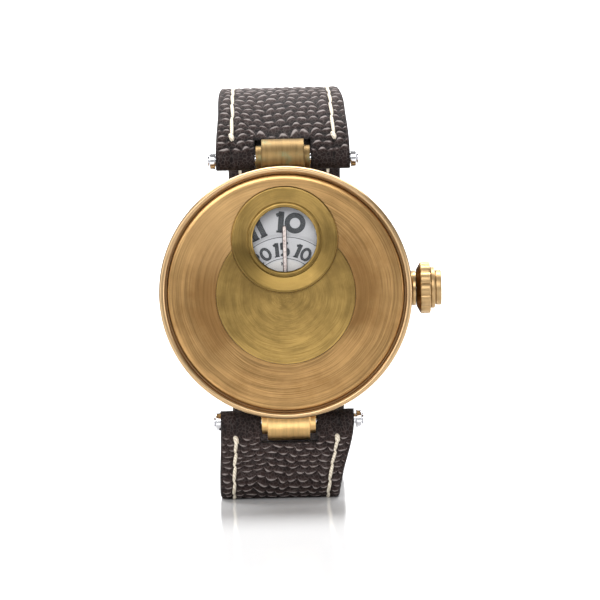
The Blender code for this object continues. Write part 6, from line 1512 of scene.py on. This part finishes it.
class WatchStudioSettings(bpy.types.PropertyGroup):
    """The studio: its camera, its light and its floor"""

    lens: bpy.props.FloatProperty(name="Lens", default=193.0, min=20.0, max=400.0,
                                  description="Focal length on a 36 mm sensor, in mm")
    distance: length_setting("Camera distance", "From the camera to the rim's plane", 0.570)
    elevation: bpy.props.FloatProperty(name="Elevation", default=math.radians(4.8),
                                       subtype="ANGLE", unit="ROTATION",
                                       description="Camera's angle above the dial's normal")
    roll: bpy.props.FloatProperty(name="Roll", default=math.radians(1.27), subtype="ANGLE",
                                  unit="ROTATION", description="Camera's turn round its view")
    aim_right: length_setting("Aim right", "The view's middle, right of the dial's axis",
                              2.53 * MM)
    aim_below: length_setting("Aim below", "The view's middle, below the dial's axis",
                              1.20 * MM)
    light: bpy.props.FloatProperty(name="Light", default=1.0, min=0.0, max=10.0,
                                   description="Factor on every lamp")
    room_light: bpy.props.FloatProperty(name="Room light", default=0.39, min=0.0, max=10.0,
                                        description="Strength of the light from all round")
    floor_colour: colour_setting("Floor", "Colour of the floor and backdrop", (0.64, 0.64, 0.645))


# Operators

class WATCH_OT_case(bpy.types.Operator):
    """Make the rim, the case band and the back"""

    bl_idname = "wristwatch.case"
    bl_label = "Case"

    def execute(self, context):
        steps = context.scene.watch_case.steps
        piece("rim_turned", [make_rim(steps)], "case", FINISHES["rim"], ["rim"])
        piece("case_band_turned", [make_band(steps)], "case", FINISHES["dish"],
              ["case_middle"])
        piece("case_back_turned", [make_back(steps)], "case", FINISHES["dish"],
              ["case_back"])
        return {"FINISHED"}


class WATCH_OT_dial(bpy.types.Operator):
    """Make the dished dial and its raised brass disc"""

    bl_idname = "wristwatch.dial"
    bl_label = "Dial"

    def execute(self, context):
        steps = context.scene.watch_case.steps
        piece("dish_turned", [make_dish(steps)], "case", FINISHES["dish"],
              ["dial_dish"])
        piece("centre_disc_turned", [make_brass_disc(steps)], "case", FINISHES["disc"],
              ["brass_centre_disc"])
        return {"FINISHED"}


class WATCH_OT_window(bpy.types.Operator):
    """Make the window ring, the crystal and the fixed pointer"""

    bl_idname = "wristwatch.window"
    bl_label = "Window"

    def execute(self, context):
        steps = context.scene.watch_case.steps
        piece("window_ring_turned", [make_window_ring(steps)], "case", FINISHES["window"],
              ["window_ring"])
        crystal = make_plate("window_crystal", steps, 0.06 * MM, 3, WINDOW_Z - AXIS_Z)
        piece("crystal_polished", [crystal], "case", FINISHES["glass"],
              ["window_crystal"])
        piece("pointer_wire", make_pointer(), "case", FINISHES["pointer"],
              ["pointer"])
        return {"FINISHED"}


class WATCH_OT_time_discs(bpy.types.Operator):
    """Make the hour, minute and seconds discs with their numerals"""

    bl_idname = "wristwatch.time_discs"
    bl_label = "Time discs"

    def execute(self, context):
        steps = context.scene.watch_case.steps
        dial = context.scene.watch_dial
        # Disc, body, figures, full turn, size, radius, figure at the top, ring line's inset
        rings = [
            ("hour", "hours", range(1, 13), 12, 3.8 * MM, 12.3 * MM, dial.hour_at_top, None),
            ("minute", "minutes", range(5, 61, 5), 60, 2.62 * MM, 7.5 * MM,
             dial.minute_at_top, 0.22 * MM),
            ("seconds", "seconds", range(10, 61, 10), 60, 0.62 * MM, 5.07 * MM,
             dial.second_at_top, 0.34 * MM),
        ]
        bevel = 0.03 * MM
        for name, body, figures, full_turn, size, radius, at_top, inset in rings:
            node = f"{name}_disc"
            piece(f"{name}_disc_plate", [make_plate(node, steps, bevel, 2)], body,
                  FINISHES[node], [node])
            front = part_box(node)[0].y - FRONT_Y
            parts = []
            for figure in figures:
                text = str(figure).replace("0", "o") if name == "minute" else str(figure)
                bearing = -(360 // full_turn) * (figure - at_top)
                parts += numeral_parts(text, size, radius, bearing, front)
            if inset:
                parts.append(ring_line(node, inset, front, steps))
            piece(f"{name}_numerals", parts, body, FINISHES["ink"])
        return {"FINISHED"}


class WATCH_OT_crown(bpy.types.Operator):
    """Make the lobed crown and its tube"""

    bl_idname = "wristwatch.crown"
    bl_label = "Crown"

    def execute(self, context):
        case = context.scene.watch_case
        piece("crown_lobed", [make_crown(case.steps, case.lobes)], "crown", FINISHES["crown"],
              ["crown"])
        piece("crown_tube_turned", [make_tube(case.steps // 2)], "case", FINISHES["tube"],
              ["crown_tube"])
        return {"FINISHED"}


class WATCH_OT_lugs(bpy.types.Operator):
    """Make both lugs with their bars and screws"""

    bl_idname = "wristwatch.lugs"
    bl_label = "Lugs"

    def execute(self, context):
        steps = context.scene.watch_case.steps // 2
        for level, side, finish in (("upper", 1, "lug"), ("lower", -1, "lower_lug")):
            piece(f"{level}_lug_drum", make_lug(side, steps), "case", FINISHES[finish],
                  [f"{level}_lug"])
            bar, screws = make_bar_and_screws(side, steps // 2)
            piece(f"{level}_bar_steel", [bar], "case", FINISHES["steel"],
                  [f"{level}_bar"])
            for hand, screw in zip(("left", "right"), screws):
                piece(f"{level}_{hand}_screw_head", [screw], "case", FINISHES["steel"],
                      [f"{level}_bar_screw_{hand}"])
        return {"FINISHED"}


def spread(first, last, step):
    """Even distances from first to last, about a step apart."""
    return np.linspace(first, last, max(2, int(round(abs(last - first) / step)) + 1))


def rounded_end(radius, count=7):
    """Distances from a rounded end's tip to its full thickness, closer by the tip."""
    return -radius * np.cos(np.linspace(0.04, math.pi / 2, count, endpoint=False))


class WATCH_OT_strap(bpy.types.Operator):
    """Make both halves of the scaled leather strap"""

    bl_idname = "wristwatch.strap"
    bl_label = "Strap"

    def execute(self, context):
        strap = context.scene.watch_strap
        coarse = 1.0
        fine, wide = 0.14 * MM * coarse, 0.40 * MM * coarse
        upper_near, lower_near = 29.0 * MM, 20.0 * MM
        fold_start, past_end = PIN_RUN - 5.3 * MM, 5 * MM

        def rows_from_bar(near, last):
            """Distances from the bar, closer together up to near than up to last."""
            return np.concatenate([
                rounded_end(LOOP_RADIUS), spread(0.0, NOTCH_REACH, fine),
                spread(NOTCH_REACH, near, fine)[1:], spread(near, last, wide)[1:]])

        slot_end = run_at_height(PIN_HEIGHT + FOLD_RADIUS + 0.18 * MM)
        upper = np.unique(np.concatenate([
            rows_from_bar(upper_near, fold_start), spread(fold_start, PIN_RUN, wide)[1:],
            PIN_RUN - rounded_end(FOLD_RADIUS)[::-1], [slot_end]]))
        holes = [run_at_height(FIRST_HOLE + HOLE_STEP * step) for step in (1, 2, 3, -2)]
        slot = sorted(run_at_height(z * MM) for z in TONGUE_SLOT)
        lower = LOOP_RUN - rows_from_bar(lower_near, LOOP_RUN - TIP_RUN - 0.1 * MM)
        lower = np.unique(np.concatenate([lower, slot]))[::-1]
        for name, kind, rows, slots, rounds, relief_depth in (
                ("upper", UPPER_HALF, upper, [(slot_end, PIN_RUN + past_end)], [],
                 strap.upper_relief),
                ("lower", LOWER_HALF, lower, [slot], holes, strap.lower_relief)):
            points, faces, relief = make_strap(kind, rows, slots, rounds, relief_depth,
                                               strap.scale_width, strap.seam_inset)
            piece(f"strap_{name}_leather", [(points, faces)], "case", FINISHES["leather"],
                  [f"strap_{name}"], {"relief": relief})
        return {"FINISHED"}


class WATCH_OT_stitches(bpy.types.Operator):
    """Sew the seams along both halves of the strap"""

    bl_idname = "wristwatch.stitches"
    bl_label = "Stitches"

    def execute(self, context):
        strap = context.scene.watch_strap
        knot_length, knot_radius, knot_slant = 1.5 * MM, strap.thread_radius * 1.45, -0.5 * MM
        for name, kind, spacing in (("upper", UPPER_HALF, strap.upper_stitch),
                                    ("lower", LOWER_HALF, strap.lower_stitch)):
            runs = kind.from_bar(np.arange(kind.first_stitch, kind.last_stitch, spacing))
            knot = kind.from_bar(kind.first_stitch - spacing / 2)
            parts = []
            for side in (-1, 1):
                for face in (1, -1):
                    parts += stitch_row(kind, runs, side, face, strap.seam_inset,
                                        spacing * 1.04, strap.thread_radius, kind.slant)
                parts += stitch_row(kind, [knot], side, 1, strap.seam_inset, knot_length,
                                    knot_radius, knot_slant)
            piece(f"strap_{name}_stitches", parts, "case", FINISHES["thread"])
        return {"FINISHED"}


class WATCH_OT_keepers(bpy.types.Operator):
    """Make the two leather keepers"""

    bl_idname = "wristwatch.keepers"
    bl_label = "Keepers"

    def execute(self, context):
        for node, body in (("fixed_keeper", "case"), ("free_keeper", "keeper")):
            part, relief = make_keeper(node)
            piece(f"{node}_leather", [part], body, FINISHES["keeper_leather"],
                  [node], {"relief": relief})
        return {"FINISHED"}


class WATCH_OT_buckle(bpy.types.Operator):
    """Make the wire buckle, its tongue and its pin"""

    bl_idname = "wristwatch.buckle"
    bl_label = "Buckle"

    def execute(self, context):
        steps = context.scene.watch_case.steps // 5
        piece("buckle_wire_frame", make_buckle(steps), "buckle", FINISHES["buckle"],
              ["buckle_frame"])
        piece("buckle_tongue_blade", make_tongue(steps), "tongue", FINISHES["buckle"],
              ["buckle_tongue"])
        middle, size = box_of("buckle_pin")
        half, radius = size[0] / 2, size[2] / 2
        profile = plate_profile(radius, half, -half, 0.2 * MM, 4)
        piece("buckle_pin_steel", [turned(profile, steps, middle, RIGHT, AHEAD)], "case",
              FINISHES["steel"], ["buckle_pin"])
        return {"FINISHED"}


class WATCH_OT_works(bpy.types.Operator):
    """Give the works behind the dial their finishes"""

    bl_idname = "wristwatch.works"
    bl_label = "Works"

    def execute(self, context):
        finishes = {
            "gilt": ("main_plate", "movement_ring", "barrel_bridge", "train_bridge",
                     "pallet_bridge", "balance_cock"),
            "wheel": ("fourth_wheel", "third_wheel", "centre_wheel", "barrel_drum",
                      "barrel_cover", "minute_wheel", "hour_wheel", "balance_wheel"),
            "blue": ("barrel_bridge_screw", "train_bridge_screw", "balance_cock_screw"),
            "spring": ("hairspring", "mainspring"),
            "rubber": ("crystal_gasket", "back_gasket", "crown_gasket"),
            "steel": ("escape_wheel", "cannon_pinion", "castle_wheel", "winding_pinion",
                      "crown_wheel", "ratchet_wheel", "barrel_arbor", "winding_stem",
                      "click_pawl", "pallet_fork"),
        }
        for finish, nodes in finishes.items():
            for node in nodes:
                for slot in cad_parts[node].material_slots:
                    slot.material = FINISHES[finish]
        return {"FINISHED"}


def lamp(name, place, target, size, power):
    """A soft white lamp, square or oblong, at a place and turned to a target."""
    data = bpy.data.lights.new(name, "AREA")
    data.shape = "RECTANGLE"
    data.size, data.size_y = size
    data.energy = power
    made = bpy.data.objects.new(name, data)
    made.location = place
    made.rotation_euler = (Vector(target) - Vector(place)).to_track_quat("-Z", "Y").to_euler()
    bpy.context.scene.collection.objects.link(made)


class WATCH_OT_studio(bpy.types.Operator):
    """Set the floor, the lamps and the camera"""

    bl_idname = "wristwatch.studio"
    bl_label = "Studio"

    def execute(self, context):
        scene = context.scene
        studio = scene.watch_studio
        self.sweep(studio)
        watch = (0.0, 0.0, AXIS_Z)
        power = studio.light
        lamp("key_from_front", (-0.15, -0.90, 0.50), watch, (0.9, 0.45), 7.3 * power)
        lamp("fill_from_left", (-0.75, -0.36, 0.30), watch, (0.35, 0.6), 2.6 * power)
        lamp("fill_from_right", (0.78, -0.34, 0.02), watch, (0.35, 0.4), 2.2 * power)
        lamp("light_on_backdrop", (0.0, 0.4, 1.2), (0.0, 1.1, 0.1), (1.8, 0.6), 60.0 * power)
        world = bpy.data.worlds.new("pale_room")
        world.use_nodes = True
        back = world.node_tree.nodes["Background"]
        back.inputs["Color"].default_value = (1.0, 1.0, 1.0, 1.0)
        back.inputs["Strength"].default_value = studio.room_light
        scene.world = world
        scene.view_settings.view_transform = "Standard"
        self.camera(scene, studio)
        return {"FINISHED"}

    def sweep(self, studio):
        """A floor that curves up into a backdrop: straight, a quarter circle, straight."""
        turn = np.linspace(0.0, math.pi / 2, 24)
        front, bend, back, top, side = -0.3, 0.6, 1.4, 3.0, 3.0
        y = np.concatenate([[front], back - bend + bend * np.sin(turn), [back]])
        z = np.concatenate([[0.0], bend - bend * np.cos(turn), [top]])
        x = np.linspace(-side, side, 9)
        grid = np.stack(np.broadcast_arrays(x[:, None], y[None], z[None]), -1)
        mesh = bpy.data.meshes.new("paper_sweep")
        mesh.from_pydata(grid.reshape(-1, 3).tolist(), [], cells(*grid.shape[:2]).tolist())
        mesh.shade_smooth()
        finish = Finish("pale_paper")
        fibre = finish.noise(finish.place()[3], 90.0, 4.0)
        tone = tuple(studio.floor_colour)
        mesh.materials.append(finish.done(
            Base_Color=finish.blend(fibre, tuple(c * 0.985 for c in tone), tone),
            Roughness=0.10 + 0.04 * fibre, Specular_IOR_Level=0.5))
        made = bpy.data.objects.new("paper_sweep", mesh)
        bpy.context.scene.collection.objects.link(made)

    def camera(self, scene, studio):
        """A camera above the dial's normal, rolled a little, aimed beside the dial."""
        data = bpy.data.cameras.new("camera")
        data.sensor_width = 36.0
        data.lens = studio.lens
        data.clip_start, data.clip_end = 0.01, 20.0
        rise = studio.elevation
        upright = np.array([0.0, math.sin(rise), math.cos(rise)])
        back = np.array([0.0, -math.cos(rise), math.sin(rise)])
        cosine, sine = math.cos(studio.roll), math.sin(studio.roll)
        right, up = cosine * RIGHT - sine * upright, sine * RIGHT + cosine * upright
        aim = (np.array([0.0, FRONT_Y, AXIS_Z]) + right * studio.aim_right
               - up * studio.aim_below)
        place = aim + back * studio.distance
        made = bpy.data.objects.new("camera", data)
        made.matrix_world = Matrix([[*row, spot] for row, spot in
                                    zip(np.stack([right, up, back], 1), place)] + [[0, 0, 0, 1]])
        scene.collection.objects.link(made)
        scene.camera = made


STEPS = (WATCH_OT_case, WATCH_OT_dial, WATCH_OT_window, WATCH_OT_time_discs, WATCH_OT_crown,
         WATCH_OT_lugs, WATCH_OT_strap, WATCH_OT_stitches, WATCH_OT_keepers, WATCH_OT_buckle,
         WATCH_OT_works, WATCH_OT_studio)


class WATCH_PT_panel(bpy.types.Panel):
    """Settings and steps of the wristwatch"""

    bl_idname = "WATCH_PT_panel"
    bl_label = "Wristwatch"
    bl_space_type = "VIEW_3D"
    bl_region_type = "UI"
    bl_category = "Wristwatch"

    def draw(self, context):
        for key in SETTINGS:
            box = self.layout.box()
            group = getattr(context.scene, key)
            for name in group.bl_rna.properties.keys():
                if name not in ("rna_type", "name"):
                    box.prop(group, name)
        for step in STEPS:
            self.layout.operator(step.bl_idname)


SETTINGS = {"watch_case": WatchCaseSettings, "watch_dial": WatchDialSettings,
            "watch_strap": WatchStrapSettings, "watch_studio": WatchStudioSettings}
CLASSES = (*SETTINGS.values(), *STEPS, WATCH_PT_panel)


def register():
    """Make the settings, the steps and the panel known to Blender."""
    for cls in CLASSES:
        bpy.utils.register_class(cls)
    for key, cls in SETTINGS.items():
        setattr(bpy.types.Scene, key, bpy.props.PointerProperty(type=cls))


def unregister():
    """Take them away again."""
    for key in SETTINGS:
        delattr(bpy.types.Scene, key)
    for cls in reversed(CLASSES):
        bpy.utils.unregister_class(cls)


def main():
    """Make the finishes and run every step."""
    register()
    make_finishes()
    for step in STEPS:
        family, name = step.bl_idname.split(".")
        getattr(getattr(bpy.ops, family), name)()


if __name__ == "__main__":
    main()
